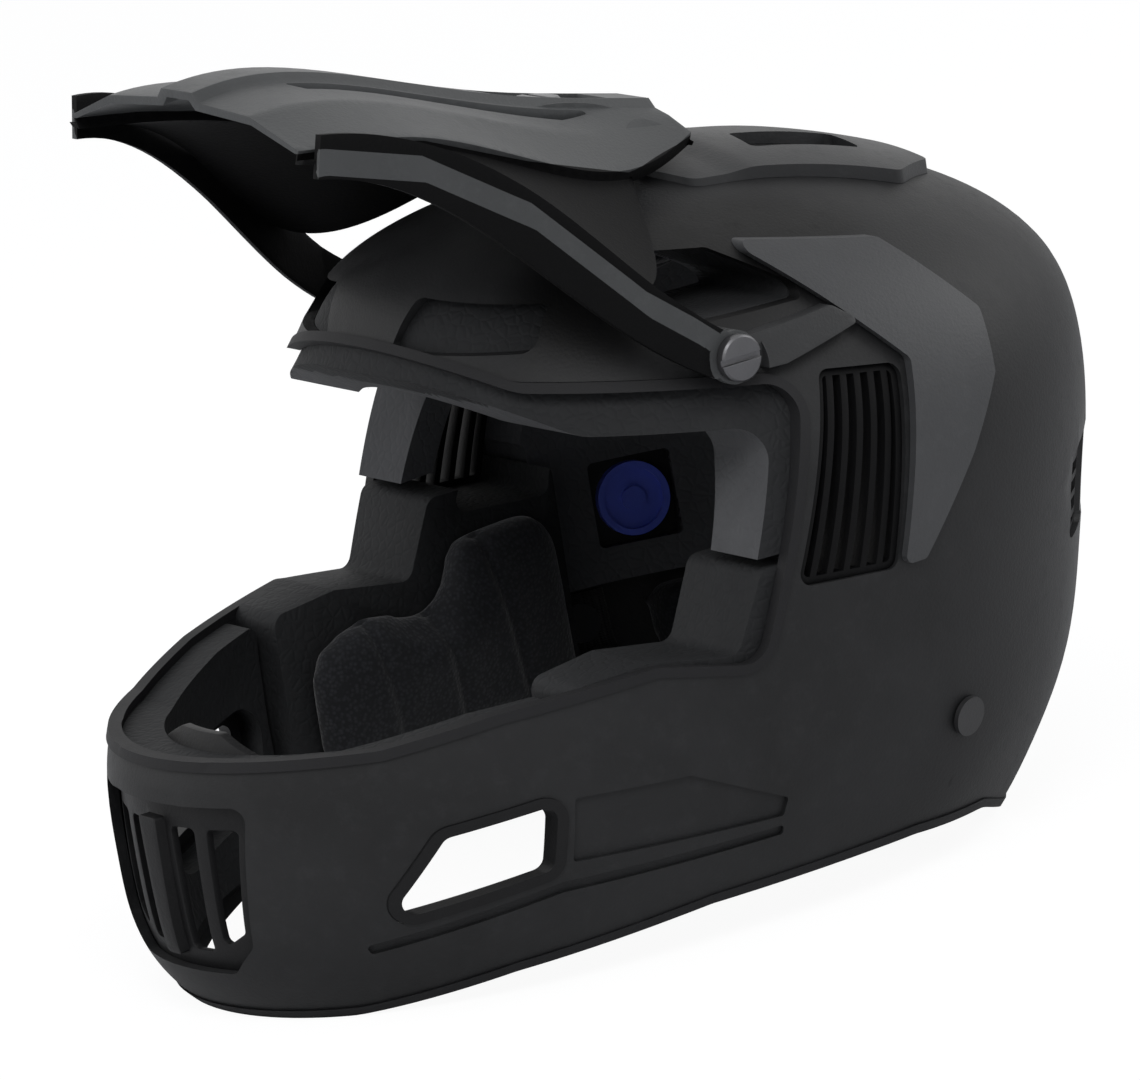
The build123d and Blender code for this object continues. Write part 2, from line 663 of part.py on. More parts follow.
def sector(inner, outer, span, width):
    """Block between two radii about the visor's hinge line, centred on the middle screw."""
    middle = CENTRE_SCREW_TURN
    directions = [radians(middle - span / 2), radians(middle), radians(middle + span / 2)]
    low = [(PIVOT_Y + inner * sin(turn), PIVOT_Z + inner * cos(turn)) for turn in directions]
    high = [(PIVOT_Y + outer * sin(turn), PIVOT_Z + outer * cos(turn)) for turn in directions]
    with BuildPart() as block:
        with BuildSketch(Plane.YZ):
            with BuildLine():
                ThreePointArc(*low)
                Line(low[-1], high[-1])
                ThreePointArc(*high)
                Line(high[0], low[0])
            make_face()
        extrude(amount=width / 2, both=True)
    return block.part


slot_cut = upwards(plan_face(VISOR_SLOT_SHARES, RECESS_RADIUS))
tongue_block = sector(SADDLE_RADIUS, SADDLE_RADIUS + SADDLE_WALL * 2, SADDLE_SPAN, SADDLE_WIDTH)
tongue_pocket = sector(SADDLE_RADIUS + SADDLE_WALL, SADDLE_RADIUS * 2, POCKET_SPAN, POCKET_WIDTH)
tongue_slot = sector(SADDLE_RADIUS / 2, SADDLE_RADIUS * 2, SLOT_SPAN, (SCREW_RADIUS + SCREW_RUN) * 2)
with BuildPart() as ears:
    with BuildSketch(Plane.YZ.offset(EAR_FACE)):
        with Locations((PIVOT_Y, PIVOT_Z)):
            Circle(EAR_RADIUS)
    extrude(amount=EAR_WALL)

with BuildPart() as visor:
    for row in VISOR_SHARES:
        outer = visor_section(row, 0.0)
        inner = visor_section(row, VISOR_WALL)
        arch = [(-x, z) for x, z in reversed(outer[1:])] + list(outer)
        arch += list(reversed(inner)) + [(-x, z) for x, z in inner[1:]]
        with BuildSketch(Plane.XZ.offset(-row[0] * HALF_LENGTH)):
            with BuildLine():
                Polyline(*arch, close=True)
            make_face()
    loft()
    arm_outline = [(y * HALF_LENGTH, up(z)) for y, z in ARM_OUTER_SHARES]
    arm_inline = [(y * HALF_LENGTH, up(z)) for y, z in ARM_INNER_SHARES]
    with BuildSketch(Plane.YZ) as arm_side:
        with BuildLine():
            Spline(*arm_outline)
            Line(arm_outline[-1], arm_inline[0])
            Spline(*arm_inline)
            Line(arm_inline[-1], arm_outline[0])
        make_face()
    arm_plan = [(x * HALF_WIDTH, y * HALF_LENGTH) for x, y in ARM_PLAN_SHARES]
    with BuildSketch(Plane.XY) as arm_top:
        with BuildLine():
            Polyline(*(arm_plan + [(x + ARM_WALL, y) for x, y in reversed(arm_plan)]), close=True)
        make_face()
    left_arm = common(prism_of(arm_side.sketch), prism_of(arm_top.sketch))
    add([left_arm, mirrored(left_arm), ears.part, mirrored(ears.part), tongue_block])
    add([slot_cut, mirrored(slot_cut), tongue_pocket, tongue_slot, screw_holes.part], mode=Mode.SUBTRACT)
finish(visor, "visor")

# Saddle on the crown that carries the visor's tongue and the middle screw.
def along_screw():
    """Plane on the hinge line, its normal along the middle screw."""
    turn = radians(CENTRE_SCREW_TURN)
    return Plane(origin=(0, PIVOT_Y, PIVOT_Z), x_dir=(1, 0, 0), z_dir=(0, sin(turn), cos(turn)))


with BuildPart() as visor_saddle:
    add(sector(SADDLE_RADIUS / 2, SADDLE_FOOT, POCKET_SPAN, POCKET_WIDTH))
    add(panel_floor, mode=Mode.SUBTRACT)
    with BuildSketch(along_screw()):
        Circle(SCREW_RADIUS + SCREW_RUN)
    extrude(amount=SADDLE_RADIUS, mode=Mode.SUBTRACT)
finish(visor_saddle, "visor_saddle")

with BuildPart() as visor_screw_centre:
    with BuildSketch(along_screw().offset(SADDLE_RADIUS - SCREW_REACH)):
        Circle(SCREW_RADIUS)
    extrude(amount=SCREW_REACH + SADDLE_WALL + LAYER_GAP)
    with BuildSketch(along_screw().offset(SADDLE_RADIUS + SADDLE_WALL + LAYER_GAP)):
        Circle(SCREW_HEAD_RADIUS)
    extrude(amount=SCREW_HEAD_WALL)
    head_edges = visor_screw_centre.edges().filter_by(GeomType.CIRCLE).group_by(SortBy.RADIUS)[-1]
    chamfer(head_edges.sort_by(Axis.Z)[-1], length=COIN_SLOT_DEPTH / 2)
    with BuildSketch(along_screw().offset(SADDLE_RADIUS + SADDLE_WALL + LAYER_GAP + SCREW_HEAD_WALL)):
        Rectangle(SCREW_HEAD_RADIUS * 3, COIN_SLOT_WIDTH)
    extrude(amount=-COIN_SLOT_DEPTH, mode=Mode.SUBTRACT)
finish(visor_screw_centre, "visor_screw_centre")

with BuildPart() as visor_screw_left:
    with BuildSketch(Plane.YZ.offset(HEAD_FACE - SCREW_REACH)):
        with Locations((PIVOT_Y, PIVOT_Z)):
            Circle(SCREW_RADIUS)
    extrude(amount=SCREW_REACH)
    with BuildSketch(Plane.YZ.offset(HEAD_FACE)):
        with Locations((PIVOT_Y, PIVOT_Z)):
            Circle(SCREW_HEAD_RADIUS)
    extrude(amount=SCREW_HEAD_WALL)
    chamfer(visor_screw_left.edges().sort_by(Axis.X)[-1], length=COIN_SLOT_DEPTH / 2)
    with BuildSketch(Plane.YZ.offset(HEAD_FACE + SCREW_HEAD_WALL)):
        with Locations((PIVOT_Y, PIVOT_Z)):
            Rectangle(SCREW_HEAD_RADIUS * 3, COIN_SLOT_WIDTH)
    extrude(amount=-COIN_SLOT_DEPTH, mode=Mode.SUBTRACT)
finish(visor_screw_left, "visor_screw_left")
with BuildPart() as visor_screw_right:
    add(mirrored(visor_screw_left.part))
finish(visor_screw_right, "visor_screw_right")

# Nuts behind the shell for the side screws.
with BuildPart() as visor_nuts:
    with BuildSketch(Plane.YZ.offset(NUT_FACE)):
        with Locations((PIVOT_Y, PIVOT_Z)):
            RegularPolygon(NUT_RADIUS, NUT_SIDES)
            Circle(SCREW_RADIUS + SCREW_RUN, mode=Mode.SUBTRACT)
    extrude(amount=-NUT_WALL)
    mirror(about=Plane.YZ)
finish(visor_nuts, "visor_nuts")

# Visor mounts on the shell: a boss under the ear and a blade running back from it.
with BuildPart() as visor_mount_left:
    with BuildSketch(Plane.YZ):
        add(side_face(BLADE_SHARES, BLADE_RADIUS))
    extrude(amount=HALF_WIDTH)
    add(skin(-BLADE_RISE), mode=Mode.INTERSECT)
    with BuildSketch(Plane.YZ.offset(EAR_FACE - LAYER_GAP)):
        with Locations((PIVOT_Y, PIVOT_Z)):
            Circle(EAR_RADIUS)
    extrude(amount=-MOUNT_BOSS_DEPTH)
    with BuildSketch(Plane.YZ.offset(EAR_FACE - LAYER_GAP)):
        with Locations((PIVOT_Y, PIVOT_Z)):
            Circle(EAR_SWEEP_RADIUS)
    extrude(amount=EAR_RADIUS, mode=Mode.SUBTRACT)
    add([panel_floor, screw_holes.part, shell_port], mode=Mode.SUBTRACT)
finish(visor_mount_left, "visor_mount_left")
with BuildPart() as visor_mount_right:
    add(mirrored(visor_mount_left.part))
finish(visor_mount_right, "visor_mount_right")

# Grille in the mouth vent: a flange behind the shell, tall slots and a middle rib.
with BuildPart() as mouth_slots:
    for slot in MOUTH_SLOT_SHARES:
        add(towards_front(front_face(slot, SLOT_RADIUS)))
    mirror(about=Plane.YZ)
grille_back = skin(FOAM_OUTER + GRILLE_WALL)
with BuildPart() as mouth_grille:
    add(towards_front(front_face(MOUTH_SHARES, MOUTH_RADIUS, GRILLE_RISE)))
    add(foam_skin, mode=Mode.INTERSECT)
    mouth_rib = common(towards_front(front_face(MOUTH_RIB_SHARES, RECESS_RADIUS)), skin(LAYER_GAP))
    add(mouth_rib)
    add([grille_back, mouth_slots.part], mode=Mode.SUBTRACT)
finish(mouth_grille, "mouth_grille")

# Frames around the chin windows.
with BuildPart() as window_frame_left:
    add(common(cut_by(frame_hole, window_hole), left_side))
    add(skin(-TRIM_LIP), mode=Mode.INTERSECT)
    add(grille_back, mode=Mode.SUBTRACT)
finish(window_frame_left, "window_frame_left")
with BuildPart() as window_frame_right:
    add(mirrored(window_frame_left.part))
finish(window_frame_right, "window_frame_right")

# Slatted grilles in the side vents.
grille_front = skin(RECESS_DEPTH)
grille_rear = skin(GRILLE_DEPTH)


def between(start, end, part_way):
    """Point part of the way from one place to another, in millimetres."""
    y = (start[0] + (end[0] - start[0]) * part_way) * HALF_LENGTH
    z = up(start[1] + (end[1] - start[1]) * part_way)
    return y, z


with BuildPart() as side_vent_grille_left:
    top_front, low_front, low_rear, top_rear = SIDE_VENT_SHARES
    with BuildSketch(Plane.YZ.offset(CHEEK_FACE)):
        add(side_face(SIDE_VENT_SHARES, SIDE_VENT_RADIUS, -TRIM_GAP))
        add(side_face(SIDE_VENT_SHARES, SIDE_VENT_RADIUS, -SLAT_WIDTH), mode=Mode.SUBTRACT)
        with BuildSketch(mode=Mode.PRIVATE) as slats:
            for count in range(1, SLAT_COUNT):
                low = between(low_front, low_rear, count / SLAT_COUNT)
                top = between(top_front, top_rear, count / SLAT_COUNT)
                half = SLAT_WIDTH / 2
                with BuildLine():
                    Polyline((low[0] - half, low[1]), (low[0] + half, low[1]), (top[0] + half, top[1]),
                             (top[0] - half, top[1]), close=True)
                make_face()
            add(side_face(SIDE_VENT_SHARES, SIDE_VENT_RADIUS, -TRIM_GAP), mode=Mode.INTERSECT)
        add(slats.sketch)
    extrude(amount=HALF_WIDTH)
    add(grille_front, mode=Mode.INTERSECT)
    add(grille_rear, mode=Mode.SUBTRACT)
finish(side_vent_grille_left, "side_vent_grille_left")
with BuildPart() as side_vent_grille_right:
    add(mirrored(side_vent_grille_left.part))
finish(side_vent_grille_right, "side_vent_grille_right")

# Grilles in the two rear vents and in the two crown vents.


def barred(face_of, shares, radius, bars):
    """Face of a vent grille: a thin rim and level bars across."""
    with BuildSketch() as grille:
        add(face_of(shares, radius, -TRIM_GAP))
        add(face_of(shares, radius, -BAR_WIDTH), mode=Mode.SUBTRACT)
        middle = face_of(shares, radius, -TRIM_GAP)
        box = middle.bounding_box()
        with BuildSketch(mode=Mode.PRIVATE) as rows:
            for count in range(1, bars + 1):
                with Locations((box.center().X, box.min.Y + box.size.Y * count / (bars + 1))):
                    Rectangle(box.size.X, BAR_WIDTH)
            add(middle, mode=Mode.INTERSECT)
        add(rows.sketch)
    return grille.sketch


with BuildPart() as rear_vent_grilles:
    add(towards_rear(barred(front_face, REAR_VENT_SHARES, REAR_VENT_RADIUS, VENT_BAR_COUNT)))
    mirror(about=Plane.YZ)
    add(grille_front, mode=Mode.INTERSECT)
    add(shell_inside, mode=Mode.SUBTRACT)
finish(rear_vent_grilles, "rear_vent_grilles")

with BuildPart() as crown_vent_grilles:
    add(upwards(barred(plan_face, FAIRING_VENT_SHARES, BROW_VENT_RADIUS, VENT_BAR_COUNT)))
    mirror(about=Plane.YZ)
    add(outer_skin, mode=Mode.INTERSECT)
    add(shell_inside, mode=Mode.SUBTRACT)
finish(crown_vent_grilles, "crown_vent_grilles")

# Small guard behind the lip of the chin bar.
with BuildPart() as breath_guard:
    add(towards_front(front_face(GUARD_SHARES, MOUTH_RADIUS)))
    add(skin(CHIN_FOAM_INNER + LAYER_GAP), mode=Mode.INTERSECT)
    add(skin(CHIN_FOAM_INNER + LAYER_GAP + GUARD_WALL), mode=Mode.SUBTRACT)
finish(breath_guard, "breath_guard")

# Rotation dampers: a square seat and a round elastic disc in each pocket of the liner.
with BuildPart() as damper_seats:
    for plane in disc_planes:
        with BuildSketch(plane.offset(-SEAT_DEPTH - SEAT_WALL)):
            RectangleRounded(SEAT_SIZE - LAYER_GAP * 2, SEAT_SIZE - LAYER_GAP * 2, SEAT_RADIUS)
        extrude(amount=SEAT_WALL)
finish(damper_seats, "damper_seats")
with BuildPart() as damper_discs:
    for plane in disc_planes:
        with BuildSketch(plane.offset(-SEAT_DEPTH)):
            Circle(DISC_RADIUS)
        extrude(amount=DISC_WALL)
        with BuildSketch(plane.offset(-SEAT_DEPTH + DISC_WALL)):
            Circle(DISC_RADIUS - DISC_GROOVE_WIDTH)
            Circle(DISC_HUB_RADIUS, mode=Mode.SUBTRACT)
        extrude(amount=-DISC_WALL / 2, mode=Mode.SUBTRACT)
finish(damper_discs, "damper_discs")

# Strap rivets through the shell.
with BuildPart() as strap_anchor_left:
    with BuildSketch(rivet_plane.offset(-RIVET_HEAD_WALL - RIVET_GAP)):
        Circle(RIVET_HEAD_RADIUS)
    extrude(amount=RIVET_HEAD_WALL)
    with BuildSketch(rivet_plane.offset(-RIVET_GAP)):
        Circle(RIVET_RADIUS)
    extrude(amount=STRAP_DEPTH + STRAP_WALL + LAYER_GAP + RIVET_GAP)
    with BuildSketch(rivet_plane.offset(STRAP_DEPTH + STRAP_WALL + LAYER_GAP)):
        Circle(RIVET_HEAD_RADIUS)
    extrude(amount=RIVET_HEAD_WALL)
finish(strap_anchor_left, "strap_anchor_left")
with BuildPart() as strap_anchor_right:
    add(mirrored(strap_anchor_left.part))
finish(strap_anchor_right, "strap_anchor_right")

# Chin straps: flat webbing, riveted at each side.
# Each route is drawn in the upright plane through the rivet that points at the head.
strap_aim = Vector(rivet_plane.z_dir.X, rivet_plane.z_dir.Y, 0).normalized()
strap_plane = Plane(
    origin=(rivet_plane.origin.X, rivet_plane.origin.Y, 0),
    x_dir=strap_aim,
    z_dir=(strap_aim.Y, -strap_aim.X, 0),
)
strap_floor = STRAP_WALL / 2 + LAYER_GAP


def strap_point(drop):
    """Place on the strap's middle line near the wall, as reach and height."""
    depth = STRAP_DEPTH + STRAP_WALL / 2
    point = rivet_plane.origin + rivet_plane.z_dir * depth + rivet_plane.y_dir * drop
    local = strap_plane.to_local_coords(point)
    return local.X, local.Y


def strap_body(points, radius):
    """Webbing along a route of corners."""
    with BuildPart() as webbing:
        with BuildSketch(strap_plane):
            with BuildLine():
                FilletPolyline(*points, radius=radius)
            trace(line_width=STRAP_WALL)
        extrude(amount=STRAP_WIDTH / 2, both=True)
        with BuildSketch(rivet_plane):
            Circle(RIVET_RADIUS + TRIM_GAP)
        extrude(amount=STRAP_DEPTH * 2, mode=Mode.SUBTRACT)
    return webbing.part


long_route = [
    strap_point(-STRAP_RISE), strap_point(STRAP_DROP), (STRAP_FOOT, strap_floor), (STRAP_REACH, strap_floor),
]
with BuildPart() as chin_strap_left:
    add(strap_body(long_route, STRAP_RADIUS))
finish(chin_strap_left, "chin_strap_left")

with BuildPart() as short_strap:
    add(strap_body([strap_point(-STRAP_RISE), strap_point(SHORT_STRAP_DROP), RING_PLACE], STRAP_RADIUS))
    with BuildSketch(strap_plane):
        with Locations(RING_PLACE):
            SlotCenterToCenter(RING_SPACING, (RING_WIRE + RING_RUN + STRAP_WALL) * 2)
    extrude(amount=STRAP_WIDTH / 2, both=True)
    with BuildSketch(strap_plane):
        with Locations(RING_PLACE):
            SlotCenterToCenter(RING_SPACING, (RING_WIRE + RING_RUN) * 2)
    extrude(amount=STRAP_WIDTH, both=True, mode=Mode.SUBTRACT)
with BuildPart() as chin_strap_right:
    add(mirrored(short_strap.part))
finish(chin_strap_right, "chin_strap_right")


def ring_at(reach):
    """D-shaped wire ring that hangs from a bar at one reach from the rivet."""
    bar_middle = strap_plane.from_local_coords(Vector(reach, RING_PLACE[1], 0))
    with BuildPart() as ring:
        with BuildLine(Plane(origin=bar_middle, x_dir=strap_plane.z_dir, z_dir=strap_aim)) as wire:
            FilletPolyline(
                (-RING_RADIUS, RING_ARM), (-RING_RADIUS, 0), (RING_RADIUS, 0), (RING_RADIUS, RING_ARM),
                radius=RING_CORNER,
            )
            ThreePointArc((RING_RADIUS, RING_ARM), (0, RING_ARM + RING_RADIUS), (-RING_RADIUS, RING_ARM))
        with BuildSketch(Plane(origin=bar_middle, z_dir=strap_plane.z_dir)):
            Circle(RING_WIRE)
        sweep(path=wire.wires()[0])
    return ring.part


with BuildPart() as d_ring_inner:
    add(mirrored(ring_at(RING_PLACE[0] + RING_SPACING / 2)))
finish(d_ring_inner, "d_ring_inner")
with BuildPart() as d_ring_outer:
    add(mirrored(ring_at(RING_PLACE[0] - RING_SPACING / 2)))
finish(d_ring_outer, "d_ring_outer")
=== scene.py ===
# %% [markdown]
# # A downhill bike full face helmet
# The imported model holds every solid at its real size. This lesson dresses it: smooth skins for the moulded
# shell, cushions that are really blown up, woven straps, and plastics with grain, wear and a little dust.
# Everything is in metres, +Z up, and the face looks along -Y.

# %% Load the frame
import bpy
import json
import math
import numpy as np
from mathutils import Matrix, Vector


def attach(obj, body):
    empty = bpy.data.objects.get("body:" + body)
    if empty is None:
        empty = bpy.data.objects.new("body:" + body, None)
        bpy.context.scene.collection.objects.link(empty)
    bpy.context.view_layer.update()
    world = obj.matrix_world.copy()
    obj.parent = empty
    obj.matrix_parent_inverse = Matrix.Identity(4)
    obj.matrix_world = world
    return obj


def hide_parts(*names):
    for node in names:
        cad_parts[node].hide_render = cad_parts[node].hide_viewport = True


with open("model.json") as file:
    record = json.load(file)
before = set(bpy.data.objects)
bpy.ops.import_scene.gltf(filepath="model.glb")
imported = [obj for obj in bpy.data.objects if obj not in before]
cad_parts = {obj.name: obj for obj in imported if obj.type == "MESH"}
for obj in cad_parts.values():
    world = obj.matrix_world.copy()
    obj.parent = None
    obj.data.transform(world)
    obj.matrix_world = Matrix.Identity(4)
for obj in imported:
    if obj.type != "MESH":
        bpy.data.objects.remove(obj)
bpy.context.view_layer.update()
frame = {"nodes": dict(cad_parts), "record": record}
nodes = frame["nodes"]
scene = bpy.context.scene

# %% [markdown]
# The skin of the shell is one rounded form. It could be drawn by hand with subdivision, but the solids were
# made from a table of level outlines, so the same table gives the exact surface. Each level is a closed spline
# through sixteen points of a rounded outline, and the levels are joined by a smooth curve from rim to crown.
# With it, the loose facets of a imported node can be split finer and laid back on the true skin.

# %% The table of level outlines
MM = 0.001
CHIN_REACH, HALF_LENGTH, HALF_WIDTH, CROWN_HEIGHT, RIM_DROP = 176.0, 178.0, 121.0, 223.0, 6.5
# Level, front reach, rear reach, half width, place of the widest point, power of the roundness
LEVELS = np.array([
    (-0.060, 0.870, 0.660, 0.740, 0.100, 2.20), (0.000, 0.945, 0.735, 0.800, 0.105, 2.20),
    (0.063, 0.985, 0.790, 0.860, 0.115, 2.20), (0.180, 1.000, 0.885, 0.930, 0.140, 2.15),
    (0.340, 0.990, 0.965, 0.980, 0.175, 2.00), (0.540, 0.800, 1.000, 1.000, 0.215, 2.10),
    (0.670, 0.625, 0.995, 0.965, 0.240, 2.20), (0.762, 0.485, 0.965, 0.890, 0.240, 2.20),
    (0.830, 0.425, 0.890, 0.795, 0.215, 2.20), (0.884, 0.395, 0.785, 0.680, 0.190, 2.20),
    (0.933, 0.330, 0.640, 0.530, 0.160, 2.20), (0.969, 0.205, 0.490, 0.365, 0.145, 2.20),
    (0.991, 0.060, 0.350, 0.200, 0.145, 2.10),
])
OUTLINE_POINTS = 16
CENTRE = np.array([0.0, 30.0, 100.0])
TURNS, TILTS, SKIN_ROWS = 720, 360, 400


def closed_spline(points, count):
    """Smooth closed curve: slopes m solve m(i-1) + 4 m(i) + m(i+1) = 3 (p(i+1) - p(i-1)), then each span
    is a cubic with those end points and slopes."""
    n = len(points)
    eye = np.eye(n)
    system = 4 * eye + np.roll(eye, 1, 1) + np.roll(eye, -1, 1)
    slopes = np.linalg.solve(system, 3 * (np.roll(points, -1, 0) - np.roll(points, 1, 0)))
    place = np.arange(count) * n / count
    i = place.astype(int)
    t = (place - i)[:, None]
    j = (i + 1) % n
    return ((2 * t**3 - 3 * t**2 + 1) * points[i] + (t**3 - 2 * t**2 + t) * slopes[i]
            + (3 * t**2 - 2 * t**3) * points[j] + (t**3 - t**2) * slopes[j])


def open_spline(knots, values, places):
    """Natural cubic spline: second derivatives solve the usual three-term rule, zero at both ends."""
    n = len(knots)
    h = np.diff(knots)
    system = np.eye(n)
    right = np.zeros_like(values)
    for i in range(1, n - 1):
        system[i, i - 1:i + 2] = h[i - 1], 2 * (h[i - 1] + h[i]), h[i]
        right[i] = 6 * ((values[i + 1] - values[i]) / h[i] - (values[i] - values[i - 1]) / h[i - 1])
    bend = np.linalg.solve(system, right.reshape(n, -1)).reshape(values.shape)
    i = np.clip(np.searchsorted(knots, places) - 1, 0, n - 2)
    shape = (-1,) + (1,) * (values.ndim - 1)
    a = ((knots[i + 1] - places) / h[i]).reshape(shape)
    b = 1 - a
    hi = h[i].reshape(shape)
    return a * values[i] + b * values[i + 1] + ((a**3 - a) * bend[i] + (b**3 - b) * bend[i + 1]) * hi**2 / 6


def skin_grid(inset):
    """Points of the skin that lies deeper by the inset, as levels by turns, in millimetres. Round a level, x is
    the half width times the cosine and y the front or rear reach times the sine, each to the power 2 / p."""
    rows = []
    turn = 2 * math.pi * np.arange(OUTLINE_POINTS) / OUTLINE_POINTS
    for level, front, rear, width, widest, power in LEVELS:
        across, along = np.cos(turn), np.sin(turn)
        front, rear = front * (CHIN_REACH - inset), rear * (HALF_LENGTH - inset)
        width, widest = width * (HALF_WIDTH - inset), widest * HALF_LENGTH
        reach = np.where(along > 0, rear - widest, widest + front)
        x = width * np.sign(across) * np.abs(across) ** (2 / power)
        y = widest + reach * np.sign(along) * np.abs(along) ** (2 / power)
        z = np.full_like(x, RIM_DROP + level * CROWN_HEIGHT - level * inset)
        rows.append(closed_spline(np.stack([x, y, z], 1), TURNS))
    rows = np.array(rows)
    steps = np.linalg.norm(np.diff(rows, axis=0), axis=2).mean(1)
    knots = np.concatenate([[0], np.cumsum(steps)])
    return open_spline(knots, rows, np.linspace(0, knots[-1], SKIN_ROWS))


def ray_table(grid):
    """Distance of the skin from the centre for even turns and tilts of the ray."""
    rays = grid - CENTRE
    flat = np.hypot(rays[..., 0], rays[..., 1])
    reach = np.hypot(flat, rays[..., 2])
    tilt = np.arctan2(rays[..., 2], flat)
    turn = np.unwrap(np.arctan2(rays[..., 1], rays[..., 0]), axis=1)
    tilts = np.linspace(tilt.min(), tilt.max(), TILTS)
    at_tilt = np.array([
        [np.interp(tilts, tilt[:, k], turn[:, k]), np.interp(tilts, tilt[:, k], reach[:, k])]
        for k in range(grid.shape[1])
    ])
    turns = np.linspace(-math.pi, math.pi, TURNS + 1)
    table = np.empty((TILTS, TURNS + 1))
    for row in range(TILTS):
        t, r = at_tilt[:, 0, row], at_tilt[:, 1, row]
        t3, r3 = np.concatenate([t - 2 * math.pi, t, t + 2 * math.pi]), np.tile(r, 3)
        order = np.argsort(t3)
        table[row] = np.interp(turns, t3[order], r3[order])
    return tilts, turns, table


def skin_reach(points, table):
    """Distance from the centre at which each point's ray meets the skin, by straight interpolation."""
    tilts, turns, values = table
    rays = points - CENTRE
    tilt = np.arctan2(rays[:, 2], np.hypot(rays[:, 0], rays[:, 1]))
    turn = np.arctan2(rays[:, 1], rays[:, 0])
    u = np.clip((tilt - tilts[0]) / (tilts[1] - tilts[0]), 0, TILTS - 1.001)
    v = np.clip((turn - turns[0]) / (turns[1] - turns[0]), 0, TURNS - 0.001)
    i, j = u.astype(int), v.astype(int)
    u, v = u - i, v - j
    return ((1 - u) * (1 - v) * values[i, j] + u * (1 - v) * values[i + 1, j]
            + (1 - u) * v * values[i, j + 1] + u * v * values[i + 1, j + 1])


# How far each skin lies inside the outer one, in millimetres
INSETS = (-3.8, -3.0, -0.9, -0.1, 0.0, 1.6, 3.5, 3.8, 4.3, 6.2, 16.8, 27.8, 28.3)
FAIRING_TOP, PANEL_TOP, TRIM_TOP, PANEL_FOOT, SKIN, RECESS, SHELL_INSIDE = INSETS[:7]
FOAM_OUTSIDE, ROLL_BACK, FRAME_INSIDE, CHIN_FOAM_INSIDE, FOAM_INSIDE, PAD_BACK = INSETS[7:]
TABLES = {inset: ray_table(skin_grid(inset)) for inset in INSETS}
print("skin tables", len(TABLES))

# %% [markdown]
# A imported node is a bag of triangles. To finish it, its corners are welded, each long edge is halved until the
# triangles are a few millimetres across, and every corner that lies on a skin is laid back on it. The result
# is a new piece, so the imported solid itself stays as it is.


# %% Weld, split and lay on the skin
SKIN_ERROR, SPLIT_LIMIT, FINE_LIMIT, SHARP_SKIN, CUT_EASE = 0.45, 6.0, 4.0, 32.0, 0.02


def read(items, what, width, kind=np.float32):
    """One property of all items of a mesh, one row for each."""
    values = np.empty(len(items) * width, kind)
    items.foreach_get(what, values)
    return values.reshape(-1, width)


def corners_of(mesh):
    """Corners of a mesh in millimetres."""
    return read(mesh.vertices, "co", 3).astype(float) / MM


def put_corners(mesh, co):
    """Writes corners given in millimetres."""
    mesh.vertices.foreach_set("co", (co * MM).astype(np.float32).ravel())
    mesh.update()


def node_triangles(name):
    """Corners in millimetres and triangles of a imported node, with doubled corners welded."""
    mesh = nodes[name].data
    mesh.calc_loop_triangles()
    co = corners_of(mesh)
    _, first, back = np.unique(np.round(co, 2), axis=0, return_index=True, return_inverse=True)
    tri = back.reshape(-1)[read(mesh.loop_triangles, "vertices", 3, np.int32)]
    whole = (tri[:, 0] != tri[:, 1]) & (tri[:, 1] != tri[:, 2]) & (tri[:, 2] != tri[:, 0])
    return co[first], tri[whole]


def edges_of(tri):
    """Each edge once as a pair of corners, and for each triangle's sides the number of their edge."""
    pairs = np.sort(np.stack([tri, np.roll(tri, -1, 1)], 2), 2)
    edges, back = np.unique(pairs.reshape(-1, 2), axis=0, return_inverse=True)
    return edges, back.reshape(-1, 3)


def split_edges(co, tri, edges, back, chosen, points):
    """Puts a corner on each chosen edge, and makes two, three or four triangles of each one it touches."""
    middle = np.full(len(edges), -1)
    middle[chosen] = len(co) + np.arange(chosen.sum())
    co = np.concatenate([co, points])
    m = middle[back]
    count = (m >= 0).sum(1)
    shift = np.zeros(len(tri), int)
    one, two = count == 1, count == 2
    shift[one] = np.argmax(m[one] >= 0, 1)
    shift[two] = (np.argmin(m[two] >= 0, 1) + 1) % 3
    turned = (np.arange(3)[None] + shift[:, None]) % 3
    t, m = np.take_along_axis(tri, turned, 1), np.take_along_axis(m, turned, 1)
    a, b, c = t.T
    p, q, r = m.T
    parts = [t[count == 0]]
    for mask, faces in (
        (one, ((a, p, c), (p, b, c))), (two, ((p, b, q), (a, p, q), (a, q, c))),
        (count == 3, ((a, p, r), (p, b, q), (r, q, c), (p, q, r))),
    ):
        parts += [np.stack(face, 1)[mask] for face in faces]
    return co, np.concatenate(parts)


def split_long(co, tri, label, limit):
    """Halves every edge longer than the limit; a middle keeps the label that both ends share."""
    edges, back = edges_of(tri)
    ends = co[edges]
    long = np.linalg.norm(ends[:, 0] - ends[:, 1], axis=1) > limit
    if not long.any():
        return co, tri, label, False
    pair = label[edges[long]]
    co, tri = split_edges(co, tri, edges, back, long, ends[long].mean(1))
    return co, tri, np.concatenate([label, np.where(pair[:, 0] == pair[:, 1], pair[:, 0], -1)]), True


def cut_along(co, tri, measure):
    """Splits every edge where the measure changes its sign, just where it is zero."""
    edges, back = edges_of(tri)
    first, last = measure(co)[edges].T
    crossed = first * last < 0
    share = (first / np.where(crossed, first - last, 1.0))[crossed, None].clip(CUT_EASE, 1 - CUT_EASE)
    ends = co[edges[crossed]]
    return split_edges(co, tri, edges, back, crossed, ends[:, 0] * (1 - share) + ends[:, 1] * share)


